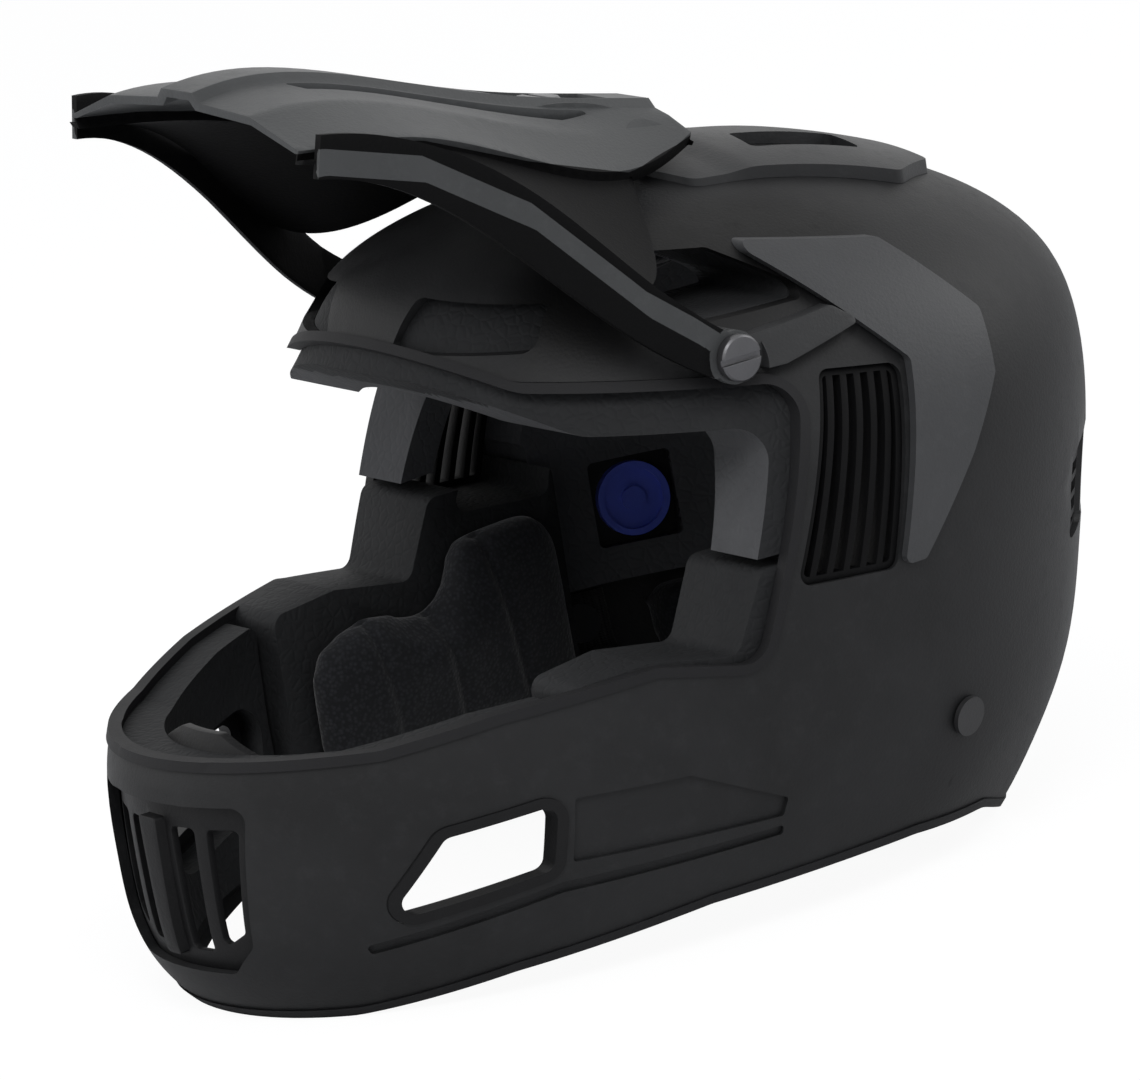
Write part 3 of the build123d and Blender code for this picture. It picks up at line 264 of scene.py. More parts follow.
def on_skin(co, insets):
    """Number of the skin that each corner lies on, or -1."""
    label = np.full(len(co), -1)
    for inset in insets:
        gap = np.abs(np.linalg.norm(co - CENTRE, axis=1) - skin_reach(co, TABLES[inset]))
        label[(gap < SKIN_ERROR) & (label < 0)] = INSETS.index(inset)
    return label


def laid_on(co, label):
    """Corners moved along their rays onto the skin that each is labelled with, but not below the floor."""
    moved = co.copy()
    for number in np.unique(label[label >= 0]):
        mine = label == number
        rays = co[mine] - CENTRE
        reach = skin_reach(co[mine], TABLES[INSETS[number]])
        moved[mine] = CENTRE + rays * (reach / np.linalg.norm(rays, axis=1))[:, None]
    moved[:, 2] = np.maximum(moved[:, 2], np.minimum(co[:, 2], 0.0))
    return moved


def linked(name, data):
    """New object of the scene that holds the data."""
    thing = bpy.data.objects.new(name, data)
    scene.collection.objects.link(thing)
    return thing


def new_piece(name, co, faces, material, sharp=SHARP_SKIN):
    """New object in metres from corners in millimetres, smooth but for edges sharper than the angle."""
    mesh = bpy.data.meshes.new(name)
    mesh.from_pydata((co * MM).tolist(), [], faces.tolist())
    mesh.validate()
    mesh.shade_smooth()
    mesh.set_sharp_from_angle(angle=math.radians(sharp))
    mesh.materials.append(material)
    return linked(name, mesh)


def body_of_node(name):
    """Body that a node rides on."""
    for body, members in frame["record"]["behaviour"]["bodies"].items():
        if name in members:
            return body


def stands_for(piece, name):
    """The piece takes a node's place and body."""
    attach(piece, body_of_node(name))
    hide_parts(name)
    return piece


def skinned(name, insets, material, limit=SPLIT_LIMIT):
    """Finished copy of a node whose curved faces lie on the given skins."""
    co, tri = node_triangles(name)
    label = on_skin(co, insets)
    going = True
    while going:
        co, tri, label, going = split_long(co, tri, label, limit)
        co = laid_on(co, label)
    print(name, "corners", len(co), "on skins", round(float((label >= 0).mean()), 2))
    return stands_for(new_piece(name + "_finished", co, tri, material), name)

# %% [markdown]
# The photograph shows a dark object on white. The world is white to the camera, to gloss and to glass, and a
# plain soft grey to the rest, so that the background is clean and the black plastics still reflect it. The
# floor shows white too and keeps the helmet's soft shadow.


# %% World, floor, lamps and camera
def node_tree(owner):
    """Empty node tree of a material or a world."""
    owner.use_nodes = True
    tree = owner.node_tree
    tree.nodes.clear()
    return tree


def put(tree, kind, **values):
    """Adds a shader node; keys name a property or an input socket, with _ for a space."""
    node = tree.nodes.new("ShaderNode" + kind)
    for key, value in values.items():
        if hasattr(node, key):
            setattr(node, key, value)
        else:
            node.inputs[key.replace("_", " ")].default_value = value
    return node


def times(tree, factor, base=None):
    """Multiplies by a fixed factor; with a base, adds that and stays between 0 and 1."""
    node = put(tree, "Math", operation="MULTIPLY")
    node.inputs[1].default_value = factor
    if base is not None:
        node.operation, node.use_clamp = "MULTIPLY_ADD", True
        node.inputs[2].default_value = base
    return node


def join(tree, *links):
    """Makes links, each given as a node, its output, a node and its input."""
    for source, output, target, socket in links:
        tree.links.new(source.outputs[output], target.inputs[socket])


WORLD_LEVEL, FLOOR_REACH, FLOOR_GLOW, FLOOR_GLOW_SHARE = 0.42, 6.0, 1.06, 0.88
world = bpy.data.worlds.new("studio")
scene.world = world
tree = node_tree(world)
paths = put(tree, "LightPath")
clear_rays = put(tree, "Math", operation="ADD", use_clamp=True)
white_rays = put(tree, "Math", operation="ADD", use_clamp=True)
soft = put(tree, "Background", Color=(0.92, 0.94, 1.0, 1), Strength=WORLD_LEVEL)
white = put(tree, "Background", Color=(1, 1, 1, 1), Strength=1.0)
choice = put(tree, "MixShader")
sky = put(tree, "OutputWorld")
join(tree, (paths, "Is Camera Ray", clear_rays, 0), (paths, "Is Transmission Ray", clear_rays, 1),
     (clear_rays, 0, white_rays, 0), (paths, "Is Glossy Ray", white_rays, 1), (white_rays, 0, choice, 0),
     (soft, 0, choice, 1), (white, 0, choice, 2), (choice, 0, sky, "Surface"))

floor_mesh = bpy.data.meshes.new("floor")
square = [(x * FLOOR_REACH, y * FLOOR_REACH, 0) for x, y in ((-1, -1), (1, -1), (1, 1), (-1, 1))]
floor_mesh.from_pydata(square, [], [(0, 1, 2, 3)])
floor = linked("floor", floor_mesh)
floor_paint = bpy.data.materials.new("floor_paint")
tree = node_tree(floor_paint)
paper = put(tree, "BsdfDiffuse", Color=(0.93, 0.93, 0.93, 1))
shine = put(tree, "Emission", Color=(1, 1, 1, 1), Strength=FLOOR_GLOW)
paths = put(tree, "LightPath")
blend_share = times(tree, FLOOR_GLOW_SHARE)
mix = put(tree, "MixShader")
out = put(tree, "OutputMaterial")
join(tree, (paths, "Is Camera Ray", blend_share, 0), (blend_share, 0, mix, 0), (paper, 0, mix, 1),
     (shine, 0, mix, 2), (mix, 0, out, "Surface"))
floor_mesh.materials.append(floor_paint)


def area_lamp(name, place, aim, size, power):
    """Soft square lamp that points at a place."""
    lamp = bpy.data.lights.new(name, "AREA")
    lamp.size, lamp.energy = size, power
    holder = linked(name, lamp)
    holder.location = place
    holder.rotation_euler = (Vector(aim) - Vector(place)).to_track_quat("-Z", "Y").to_euler()


MIDDLE = (0.0, 0.0, 0.13)
area_lamp("key", (1.0, -0.7, 1.5), MIDDLE, 0.9, 13.0)
area_lamp("fill", (-0.9, -1.5, 0.9), MIDDLE, 1.4, 7.0)
area_lamp("rim", (0.6, 1.6, 1.1), MIDDLE, 1.0, 9.0)

CAMERA_AZIMUTH, CAMERA_ELEVATION, CAMERA_ROLL = 57.31, 14.15, -8.66
CAMERA_DISTANCE, PIXELS_PER_M, AIM_RIGHT, AIM_UP = 3.0, 3114.5, -0.0011, -0.0183
PHOTO_WIDTH, SENSOR = 1140, 36.0
azimuth, elevation, roll = map(math.radians, (CAMERA_AZIMUTH, CAMERA_ELEVATION, CAMERA_ROLL))
ahead = Vector((-math.sin(azimuth) * math.cos(elevation), math.cos(azimuth) * math.cos(elevation),
                -math.sin(elevation)))
level_right = ahead.cross(Vector((0, 0, 1))).normalized()
level_up = level_right.cross(ahead)
right = level_right * math.cos(roll) + level_up * math.sin(roll)
above = level_up * math.cos(roll) - level_right * math.sin(roll)
aim = Vector(MIDDLE) + right * AIM_RIGHT + above * AIM_UP
lens = bpy.data.cameras.new("camera")
lens.sensor_width = SENSOR
lens.lens = SENSOR * PIXELS_PER_M * CAMERA_DISTANCE / PHOTO_WIDTH
lens.clip_end = 20.0
camera = linked("camera", lens)
camera.matrix_world = Matrix.Translation(aim - ahead * CAMERA_DISTANCE) @ Matrix(
    (right, above, -ahead)).transposed().to_4x4()
scene.camera = camera
scene.view_settings.view_transform = "Standard"
print("lens", round(lens.lens, 1))

# %% [markdown]
# Two effects are used by most finishes. Moulded grain is fine noise that roughens the plastic a little and
# bumps it. Handling marks are large soft patches and fine dust, lighter and duller than the plastic. Each is
# a node group that puts out values only, so that every material keeps its own shader.


# %% Shared effects
def effect_group(name, inputs, outputs):
    """New node group with float inputs (name, default) and float outputs."""
    group = bpy.data.node_groups.new(name, "ShaderNodeTree")
    for key, value in inputs:
        socket = group.interface.new_socket(key, in_out="INPUT", socket_type="NodeSocketFloat")
        socket.default_value = value
    for key in outputs:
        group.interface.new_socket(key, in_out="OUTPUT", socket_type="NodeSocketFloat")
    enter = group.nodes.new("NodeGroupInput")
    leave = group.nodes.new("NodeGroupOutput")
    return group, enter, leave


FINE_SCALE, DUST_SCALE = 2.3, 9.0
grain, enter, leave = effect_group("moulded_grain", [("Scale", 900.0), ("Depth", 1.0)], ["Height"])
place = put(grain, "TexCoord")
pebbles = put(grain, "TexVoronoi", feature="SMOOTH_F1", Smoothness=0.6)
fine = put(grain, "TexNoise", Detail=3.0, Roughness=0.6)
double = times(grain, FINE_SCALE)
total = put(grain, "Math", operation="ADD")
deep = put(grain, "Math", operation="MULTIPLY")
join(grain, (place, "Object", pebbles, "Vector"), (place, "Object", fine, "Vector"),
     (enter, "Scale", pebbles, "Scale"), (enter, "Scale", double, 0), (double, 0, fine, "Scale"),
     (pebbles, "Distance", total, 0), (fine, "Fac", total, 1), (total, 0, deep, 0), (enter, "Depth", deep, 1),
     (deep, 0, leave, "Height"))

marks, enter, leave = effect_group("handling_marks", [("Scale", 14.0), ("Amount", 0.5)], ["Patches", "Dust"])
place = put(marks, "TexCoord")
clouds = put(marks, "TexNoise", Detail=6.0, Roughness=0.62, Distortion=0.4)
speckle = put(marks, "TexNoise", Detail=4.0, Roughness=0.75)
finer = times(marks, DUST_SCALE)
level = put(marks, "MapRange", From_Min=0.42, From_Max=0.72)
dust_level = put(marks, "MapRange", From_Min=0.52, From_Max=0.80)
weaker = put(marks, "Math", operation="MULTIPLY")
weaker_dust = put(marks, "Math", operation="MULTIPLY")
join(marks, (place, "Object", clouds, "Vector"), (place, "Object", speckle, "Vector"),
     (enter, "Scale", clouds, "Scale"), (enter, "Scale", finer, 0), (finer, 0, speckle, "Scale"),
     (clouds, "Fac", level, "Value"), (speckle, "Fac", dust_level, "Value"), (level, "Result", weaker, 0),
     (enter, "Amount", weaker, 1), (dust_level, "Result", weaker_dust, 0), (enter, "Amount", weaker_dust, 1),
     (weaker, 0, leave, "Patches"), (weaker_dust, 0, leave, "Dust"))


def use_group(tree, group, **values):
    """Places a group in a tree and sets its inputs."""
    node = tree.nodes.new("ShaderNodeGroup")
    node.node_tree = group
    for key, value in values.items():
        node.inputs[key].default_value = value
    return node


WORN_LIFT, WORN_DULLER = 0.004, 0.22


def plastic(name, colour, roughness, grain_scale=900.0, grain_depth=0.6, wear=0.35, lift=1.6, specular=0.22):
    """Moulded plastic: dark base, patches a little lighter and duller, fine pebbled bump."""
    paint = bpy.data.materials.new(name)
    tree = node_tree(paint)
    shader = put(tree, "BsdfPrincipled")
    shader.inputs["Specular IOR Level"].default_value = specular
    out = put(tree, "OutputMaterial")
    rough = use_group(tree, grain, Scale=grain_scale, Depth=grain_depth)
    worn = use_group(tree, marks, Scale=16.0, Amount=wear)
    tone = put(tree, "Mix", data_type="RGBA")
    tone.inputs["A"].default_value = (*colour, 1)
    tone.inputs["B"].default_value = (*[c * lift + WORN_LIFT for c in colour], 1)
    dusty = put(tree, "Math", operation="ADD", use_clamp=True)
    duller = times(tree, WORN_DULLER, roughness)
    bump = put(tree, "Bump", Strength=0.22, Distance=0.0004)
    join(tree, (worn, "Patches", dusty, 0), (worn, "Dust", dusty, 1), (dusty, 0, tone, "Factor"),
         (tone, "Result", shader, "Base Color"), (dusty, 0, duller, 0), (duller, 0, shader, "Roughness"),
         (rough, "Height", bump, "Height"), (bump, "Normal", shader, "Normal"), (shader, 0, out, "Surface"))
    return paint


SHELL_TONE = (0.0105, 0.0107, 0.0113)
shell_black = plastic("shell_matte_black", SHELL_TONE, 0.50, wear=0.55, lift=2.0)
# The crown's material gets painted shade beside the visor further down: a darker patch for the visor's shadow.
crown_shaded_black = plastic("crown_painted_shade_black", SHELL_TONE, 0.50, wear=0.55, lift=2.0)
panel_grey = plastic("panel_satin_grey", (0.046, 0.047, 0.049), 0.42, wear=0.35, lift=1.4)
fairing_grey = plastic("fairing_dark_grey", (0.022, 0.0225, 0.0235), 0.46, wear=0.5, lift=1.7)
visor_grey = plastic("visor_satin_grey", (0.050, 0.052, 0.053), 0.40, wear=0.45, lift=1.4)
# Near black with little gloss; on the visor it is painted shade below the visor's edge.
visor_shade_black = plastic("visor_shade_black", (0.0022, 0.0022, 0.0024), 0.62, wear=0.15, specular=0.08)
hard_black = plastic("hard_black", (0.006, 0.006, 0.0065), 0.48, wear=0.3, specular=0.18)
grille_black = plastic("grille_black", (0.0028, 0.0028, 0.0031), 0.50, wear=0.2, specular=0.09)
trim_rubber = plastic("trim_rubber", (0.009, 0.009, 0.010), 0.62, grain_scale=1500.0, grain_depth=0.4, wear=0.3)

# %% [markdown]
# Beside the visor the crown's colour is darkened to a deeper black that fades out softly: painted shade for the
# visor's shadow. The fade is the smoothed distance from a middle on the left, with its own reach along each axis.
# X counts without its sign, so the right side is the same.

# %% Painted shade beside the visor
# Painted shade: the near black that stands in for the visor's shadow on the crown.
PAINTED_SHADE_BLACK = (0.0016, 0.0016, 0.0018, 1)
SHADE_MIDDLE, SHADE_REACH, SHADE_START = (0.080, 0.0, 0.212), (0.045, 0.095, 0.032), 0.62
tree = crown_shaded_black.node_tree
shader = next(node for node in tree.nodes if node.type == "BSDF_PRINCIPLED")
worn_tone = shader.inputs["Base Color"].links[0].from_socket
place = put(tree, "TexCoord")
both_sides = put(tree, "VectorMath", operation="ABSOLUTE")
off = put(tree, "VectorMath", operation="SUBTRACT")
off.inputs[1].default_value = SHADE_MIDDLE
share = put(tree, "VectorMath", operation="DIVIDE")
share.inputs[1].default_value = SHADE_REACH
far = put(tree, "VectorMath", operation="LENGTH")
fade = put(tree, "MapRange", interpolation_type="SMOOTHSTEP", From_Min=SHADE_START, To_Min=1.0, To_Max=0.0)
painted = put(tree, "Mix", data_type="RGBA")
painted.inputs["B"].default_value = PAINTED_SHADE_BLACK
tree.links.new(worn_tone, painted.inputs["A"])
join(tree, (place, "Object", both_sides, 0), (both_sides, 0, off, 0), (off, 0, share, 0), (share, 0, far, 0),
     (far, "Value", fade, "Value"), (fade, "Result", painted, "Factor"),
     (painted, "Result", shader, "Base Color"))
print("materials", len(bpy.data.materials))

# %% [markdown]
# Foam, cloth, webbing, rubber and metal need their own surfaces. Pressed foam shows its beads as a fine cell
# pattern. The pads are covered with knitted cloth: rows of small loops with a soft sheen. Webbing is woven, so
# its pattern follows the strap's own map. The dampers are blue elastic rubber, and the small hardware is steel.


# %% Foam, cloth, webbing, rubber and metal
SOFT_LIFT, SOFT_DULLER = 1.7, 0.15


def coat(name, colour, roughness, specular, **constants):
    """Material with handling marks; gives also its tree, its shader and its tone for more nodes."""
    paint = bpy.data.materials.new(name)
    tree = node_tree(paint)
    shader = put(tree, "BsdfPrincipled")
    shader.inputs["Specular IOR Level"].default_value = specular
    for key, value in constants.items():
        shader.inputs[key.replace("_", " ")].default_value = value
    out = put(tree, "OutputMaterial")
    worn = use_group(tree, marks, Scale=22.0, Amount=0.4)
    tone = put(tree, "Mix", data_type="RGBA")
    tone.inputs["A"].default_value = (*colour, 1)
    tone.inputs["B"].default_value = (*[c * SOFT_LIFT + WORN_LIFT for c in colour], 1)
    duller = times(tree, SOFT_DULLER, roughness)
    join(tree, (worn, "Patches", tone, "Factor"), (worn, "Dust", duller, 0), (duller, 0, shader, "Roughness"),
         (shader, 0, out, "Surface"))
    return paint, tree, shader, tone


def bumped(tree, shader, height, strength, distance):
    """Feeds a height to the shader's normal."""
    bump = put(tree, "Bump", Strength=strength, Distance=distance)
    tree.links.new(height, bump.inputs["Height"])
    join(tree, (bump, "Normal", shader, "Normal"))


def darkened(tree, shader, tone, value, share):
    """Base colour is the tone, times a value at some share."""
    darken = put(tree, "Mix", data_type="RGBA", blend_type="MULTIPLY")
    darken.inputs["Factor"].default_value = share
    tree.links.new(value, darken.inputs["B"])
    join(tree, (tone, "Result", darken, "A"), (darken, "Result", shader, "Base Color"))


def pressed_foam(name, colour):
    """Foam whose beads show as cells with fine sunk joints."""
    paint, tree, shader, tone = coat(name, colour, 0.72, 0.2)
    place = put(tree, "TexCoord")
    cells = put(tree, "TexVoronoi", feature="DISTANCE_TO_EDGE", Scale=270.0)
    ridge = put(tree, "MapRange", From_Max=0.22)
    join(tree, (place, "Object", cells, "Vector"), (cells, "Distance", ridge, "Value"),
         (tone, "Result", shader, "Base Color"))
    bumped(tree, shader, ridge.outputs["Result"], 0.35, 0.0004)
    return paint


foam_grey = pressed_foam("foam_grey", (0.062, 0.063, 0.066))
foam_black = pressed_foam("foam_black", (0.014, 0.0145, 0.0155))

pad_cloth, tree, shader, tone = coat("pad_cloth", (0.020, 0.021, 0.024), 0.86, 0.15, Sheen_Weight=0.25,
                                     Sheen_Roughness=0.5)
place = put(tree, "TexCoord")
loops = put(tree, "TexVoronoi", feature="SMOOTH_F1", Scale=760.0, Smoothness=0.35)
shade = put(tree, "MapRange", From_Min=0.10, From_Max=0.62, To_Min=1.25, To_Max=0.35)
join(tree, (place, "Object", loops, "Vector"), (loops, "Distance", shade, "Value"))
darkened(tree, shader, tone, shade.outputs["Result"], 0.75)
bumped(tree, shader, shade.outputs["Result"], 0.5, 0.0003)

strap_weave, tree, shader, tone = coat("strap_weave", (0.014, 0.014, 0.015), 0.62, 0.3, Sheen_Weight=0.15)
place = put(tree, "TexCoord")
warp = put(tree, "TexWave", bands_direction="X", Scale=232.0)
weft = put(tree, "TexWave", bands_direction="Y", Scale=310.0)
cross = put(tree, "Math", operation="MULTIPLY")
light = put(tree, "MapRange", To_Min=0.55, To_Max=1.3)
join(tree, (place, "UV", warp, "Vector"), (place, "UV", weft, "Vector"), (warp, "Fac", cross, 0),
     (weft, "Fac", cross, 1), (cross, 0, light, "Value"))
darkened(tree, shader, tone, light.outputs["Result"], 0.8)
bumped(tree, shader, cross.outputs[0], 0.5, 0.0003)


def simple(name, colour, roughness, specular, **constants):
    """Material whose only relief is the moulded grain."""
    paint, tree, shader, tone = coat(name, colour, roughness, specular, **constants)
    rough = use_group(tree, grain, Scale=1200.0, Depth=0.6)
    join(tree, (tone, "Result", shader, "Base Color"))
    bumped(tree, shader, rough.outputs["Height"], 0.2, 0.0002)
    return paint


damper_rubber = simple("damper_rubber", (0.085, 0.125, 0.600), 0.38, 0.5)
black_metal = simple("black_metal", (0.016, 0.016, 0.017), 0.42, 0.4)
screw_metal = simple("screw_metal", (0.10, 0.10, 0.105), 0.38, 0.5, Metallic=0.85)
ring_steel = simple("ring_steel", (0.46, 0.46, 0.47), 0.28, 0.5, Metallic=1.0)
print("materials", len(bpy.data.materials))

# %% [markdown]
# The shell is moulded in three sections that meet at a level and an upright seam. The fairing, the side panels
# and the two edge bands lie on the same skins a little further out, so all of them are made the same way.

# %% Shell, panels, fairing and trims
for section, paint in (("crown_shell", crown_shaded_black), ("chin_shell", shell_black), ("rear_shell", shell_black)):
    skinned(section, (SKIN, RECESS, SHELL_INSIDE), paint)
fairing = skinned("crown_fairing", (FAIRING_TOP, PANEL_FOOT), fairing_grey)
for side in ("left", "right"):
    skinned("side_panel_" + side, (PANEL_TOP, PANEL_FOOT), panel_grey)
    skinned("window_frame_" + side, (TRIM_TOP, FRAME_INSIDE), hard_black, FINE_LIMIT)
for band in ("eye_port_trim", "neck_trim"):
    skinned(band, (TRIM_TOP, SHELL_INSIDE), trim_rubber, FINE_LIMIT)

# %% [markdown]
# When the visor tips back, its tail comes down on the fairing. The fairing's top is therefore lowered a little
# under the tail, more the nearer to the front, and fades into its full height behind it.


# %% Room for the tilted visor
TAIL_ROOM, TAIL_END, TAIL_FADE = 1.5, 58.0, 12.0
co = corners_of(fairing.data)
reach = np.linalg.norm(co - CENTRE, axis=1)
share = np.clip((skin_reach(co, TABLES[SKIN]) - reach) / FAIRING_TOP, 0, 1)
fade = np.clip((TAIL_END - co[:, 1]) / TAIL_FADE, 0, 1)
lowered = TAIL_ROOM * share * fade * fade * (3 - 2 * fade)
put_corners(fairing.data, CENTRE + (co - CENTRE) * (1 - lowered / reach)[:, None])
print("fairing lowered by up to", round(float(lowered.max()), 2), "mm under the visor's tail")

# %% [markdown]
# The crown's foam is grey inside, where the head goes, and black against the shell. Wherever a vent shows it from
# outside it is black as well, painted shade for the dark inside the vents. Faces are chosen by how far they lie
# from the foam's skins, and the black ones take a second material.


# %% Foam liners in two tones
VENT_LEVEL, VENT_REAR, GREY_DEPTH, BLACK_DEPTH = 178.0, 60.0, 1.5, 4.4


def two_tone(piece, paint, chosen):
    """Gives a second material to the faces for whose centres, in millimetres, chosen is true."""
    mesh = piece.data
    mesh.materials.append(paint)
    mask = chosen(read(mesh.polygons, "center", 3).astype(float) / MM)
    mesh.polygons.foreach_set("material_index", mask.astype(np.int32))
    mesh.update()
    print(piece.name, "second tone on", int(mask.sum()), "faces")


def shell_side_and_vent_shade(centre):
    """True where the foam is black: in the upper and the rear vents as painted shade, and against the shell."""
    reach = np.linalg.norm(centre - CENTRE, axis=1)
    # Painted shade: under the upper and rear vents all but the head side of the foam is black.
    vents = (centre[:, 2] > VENT_LEVEL) | (centre[:, 1] > VENT_REAR)
    over_head = reach - skin_reach(centre, TABLES[FOAM_INSIDE])
    return (over_head > GREY_DEPTH) & vents | (skin_reach(centre, TABLES[SKIN]) - reach < BLACK_DEPTH)


two_tone(skinned("crown_liner", (FOAM_OUTSIDE, FOAM_INSIDE), foam_grey), foam_black, shell_side_and_vent_shade)
skinned("chin_liner", (FOAM_OUTSIDE, CHIN_FOAM_INSIDE), foam_black)

# %% [markdown]
# The comfort pads are foam sewn into knitted cloth. A pad drawn as a solid looks like a block, because nothing
# in it pushes outwards. So each one is drawn a little too small, remeshed into even squares and really blown up
# by a cloth simulation with air pressure. How far a point may move is capped, and a last step keeps the side
# that rests on foam from sinking into it. The sewn channels come after that, as soft grooves.


# %% Blow up a pad
CLOTH_FRAMES, CLOTH_QUALITY, AIR_PRESSURE, MOVE_CAP = 20, 5, 4.0, 6.0
PAD_SHRINK, PAD_VOXEL, PAD_LEVELS, SEAM_WIDTH, ROUNDS, ROUND_SHARE = 1.4, 4.0, 2, 2.2, 2, 0.5
CHEEK_BACK, CHEEK_EDGE = 73.5, 6.0


def normals_of(mesh):
    """Outward direction at each corner."""
    return read(mesh.vertex_normals, "vector", 3).astype(float)


def settle(piece):
    """Turns a piece's live modifiers into its mesh."""
    graph = bpy.context.evaluated_depsgraph_get()
    mesh = bpy.data.meshes.new_from_object(piece.evaluated_get(graph))
    piece.modifiers.clear()
    piece.data = mesh


def rounded(mesh):
    """In each round, a corner moves a share of the way to the middle of its neighbours."""
    a, b = read(mesh.edges, "vertices", 2, np.int32).T
    co = corners_of(mesh)
    count = np.bincount(a, minlength=len(co)) + np.bincount(b, minlength=len(co))
    for _ in range(ROUNDS):
        total = np.zeros_like(co)
        np.add.at(total, a, co[b])
        np.add.at(total, b, co[a])
        co += ROUND_SHARE * (total / count[:, None] - co)
    put_corners(mesh, co)


def blown_up(piece):
    """Air pressure inside the cloth for some frames; no corner moves further than the cap."""
    start = corners_of(piece.data)
    cloth = piece.modifiers.new("air", "CLOTH")
    cloth.settings.quality = CLOTH_QUALITY
    cloth.settings.use_pressure = True
    cloth.settings.uniform_pressure_force = AIR_PRESSURE
    cloth.settings.effector_weights.gravity = 0
    cloth.point_cache.frame_end = CLOTH_FRAMES
    for frame_number in range(1, CLOTH_FRAMES + 1):
        scene.frame_set(frame_number)
    settle(piece)
    scene.frame_set(1)
    move = corners_of(piece.data) - start
    length = np.linalg.norm(move, axis=1, keepdims=True)
    put_corners(piece.data, start + move * np.minimum(1, MOVE_CAP / np.maximum(length, 1e-6)))


def kept_off(co, name):
    """Corners behind the pad's resting side are set back on it."""
    if name.startswith("cheek"):
        co[:, 0] = np.clip(co[:, 0], -CHEEK_BACK, CHEEK_BACK)
        return co
    rays = co - CENTRE
    reach = np.linalg.norm(rays, axis=1)
    most = skin_reach(co, TABLES[ROLL_BACK if name == "neck_roll" else PAD_BACK])
    return CENTRE + rays * (np.minimum(reach, most) / reach)[:, None]


def cushion(name, channels, depth):
    """Pad: the node drawn smaller, remeshed, blown up, smoothed finer and grooved where it is sewn.

    channels gives each corner's distance to the nearest seam in millimetres; the groove is the depth times
    a bell of that distance."""
    co, tri = node_triangles(name)
    piece = new_piece(name + "_cloth", co, tri, pad_cloth)
    put_corners(piece.data, co - normals_of(piece.data) * PAD_SHRINK)
    even = piece.modifiers.new("even", "REMESH")
    even.mode, even.voxel_size = "VOXEL", PAD_VOXEL * MM
    settle(piece)
    rounded(piece.data)
    blown_up(piece)
    put_corners(piece.data, kept_off(corners_of(piece.data), name))
    finer = piece.modifiers.new("finer", "SUBSURF")
    finer.levels = finer.render_levels = PAD_LEVELS
    settle(piece)
    mesh = piece.data
    co = corners_of(mesh)
    groove = depth * np.exp(-(channels(co) / SEAM_WIDTH) ** 2)
    co -= normals_of(mesh) * groove[:, None]
    put_corners(mesh, kept_off(co, name))
    mesh.shade_smooth()
    mesh.materials.clear()
    mesh.materials.append(pad_cloth)
    print(name, "corners", len(co), "size", np.ptp(co, 0).round(0))
    stands_for(piece, name)


def to_lines(along, places):
    """Distance along one direction to the nearest of some places."""
    return np.abs(along[:, None] - np.array(places)[None]).min(1)

# %% [markdown]
# Each pad is now one call, with the places of its sewn channels, their depth and how full the pad is.

# %% Cheek pads, crown pads and neck roll
CHEEK_SEAMS, CHEEK_SEAM_LEVEL, NO_SEAM = (-42.0, -18.0, 8.0), 46.0, 99.0
CHEEK_LEAN, CHEEK_LEAN_LEVEL, CHEEK_SLOPE = 0.16, 60.0, 0.05


def cheek_channels(co):
    """Upright seams in the upper part of the pad, and one that follows its lower edge."""
    lean = co[:, 1] + CHEEK_LEAN * (co[:, 2] - CHEEK_LEAN_LEVEL)
    upright = np.where(co[:, 2] > CHEEK_SEAM_LEVEL, to_lines(lean, CHEEK_SEAMS), NO_SEAM)
    level = np.abs(co[:, 2] - CHEEK_SEAM_LEVEL - CHEEK_SLOPE * co[:, 1])
    face = np.abs(co[:, 0]) < CHEEK_BACK - CHEEK_EDGE
    return np.where(face, np.minimum(upright, level), NO_SEAM)


def lengthwise(places):
    """Seams that run from front to rear at some places across."""
    return lambda co: to_lines(np.abs(co[:, 0]), places)


def crosswise(places):
    """Seams that run across at some places along."""
    return lambda co: to_lines(co[:, 1], places)


for side in ("left", "right"):
    cushion("cheek_pad_" + side, cheek_channels, 1.5)
    cushion("side_pad_" + side, crosswise((22.0, 62.0)), 1.1)
cushion("brow_pad", lengthwise((0.0, 38.0)), 1.0)
cushion("crown_pad", crosswise((10.0, 50.0, 88.0)), 1.1)
cushion("rear_pad", lengthwise((0.0, 24.0)), 1.1)
cushion("neck_roll", lengthwise((0.0, 36.0, 68.0)), 1.3)

# %% [markdown]
# The straps are flat nylon webbing. A strap is a narrow rounded profile carried along its route: down from the
# rivet, round one bend and out over the floor, as it falls on the real helmet. Cloth simulation would only
# erase something this thin, so its ribs are made as real waves across the profile and a fine weave in the bump.


# %% Route and body of the webbing
RIVET_LEVEL, RIVET_TURN = 3.11, 14.6
RIVET_DEPTH, WEB_WIDTH, WEB_WALL = 5.1, 22.0, 1.8
STRAP_UP, STRAP_DOWN, SHORT_DOWN, STRAP_FOOT, STRAP_REACH = 10.0, 22.0, 8.0, 62.0, 138.0
STRAP_BEND, STRAP_FLOOR, RING_PLACE, RING_PITCH, RING_WIRE = 8.0, 1.2, (26.0, 34.0), 3.8, 1.65
RIB_PITCH, RIB_HEIGHT, WEB_SIDE_EASE, WEB_FACE_EASE, WEB_SINK, WEB_SHARP = 2.7, 0.10, 0.2, 0.12, 0.05, 50
WEB_POINTS, ARC_POINTS, LOOP_POINTS, ROUTE_STEP = 49, 16, 40, 1.0


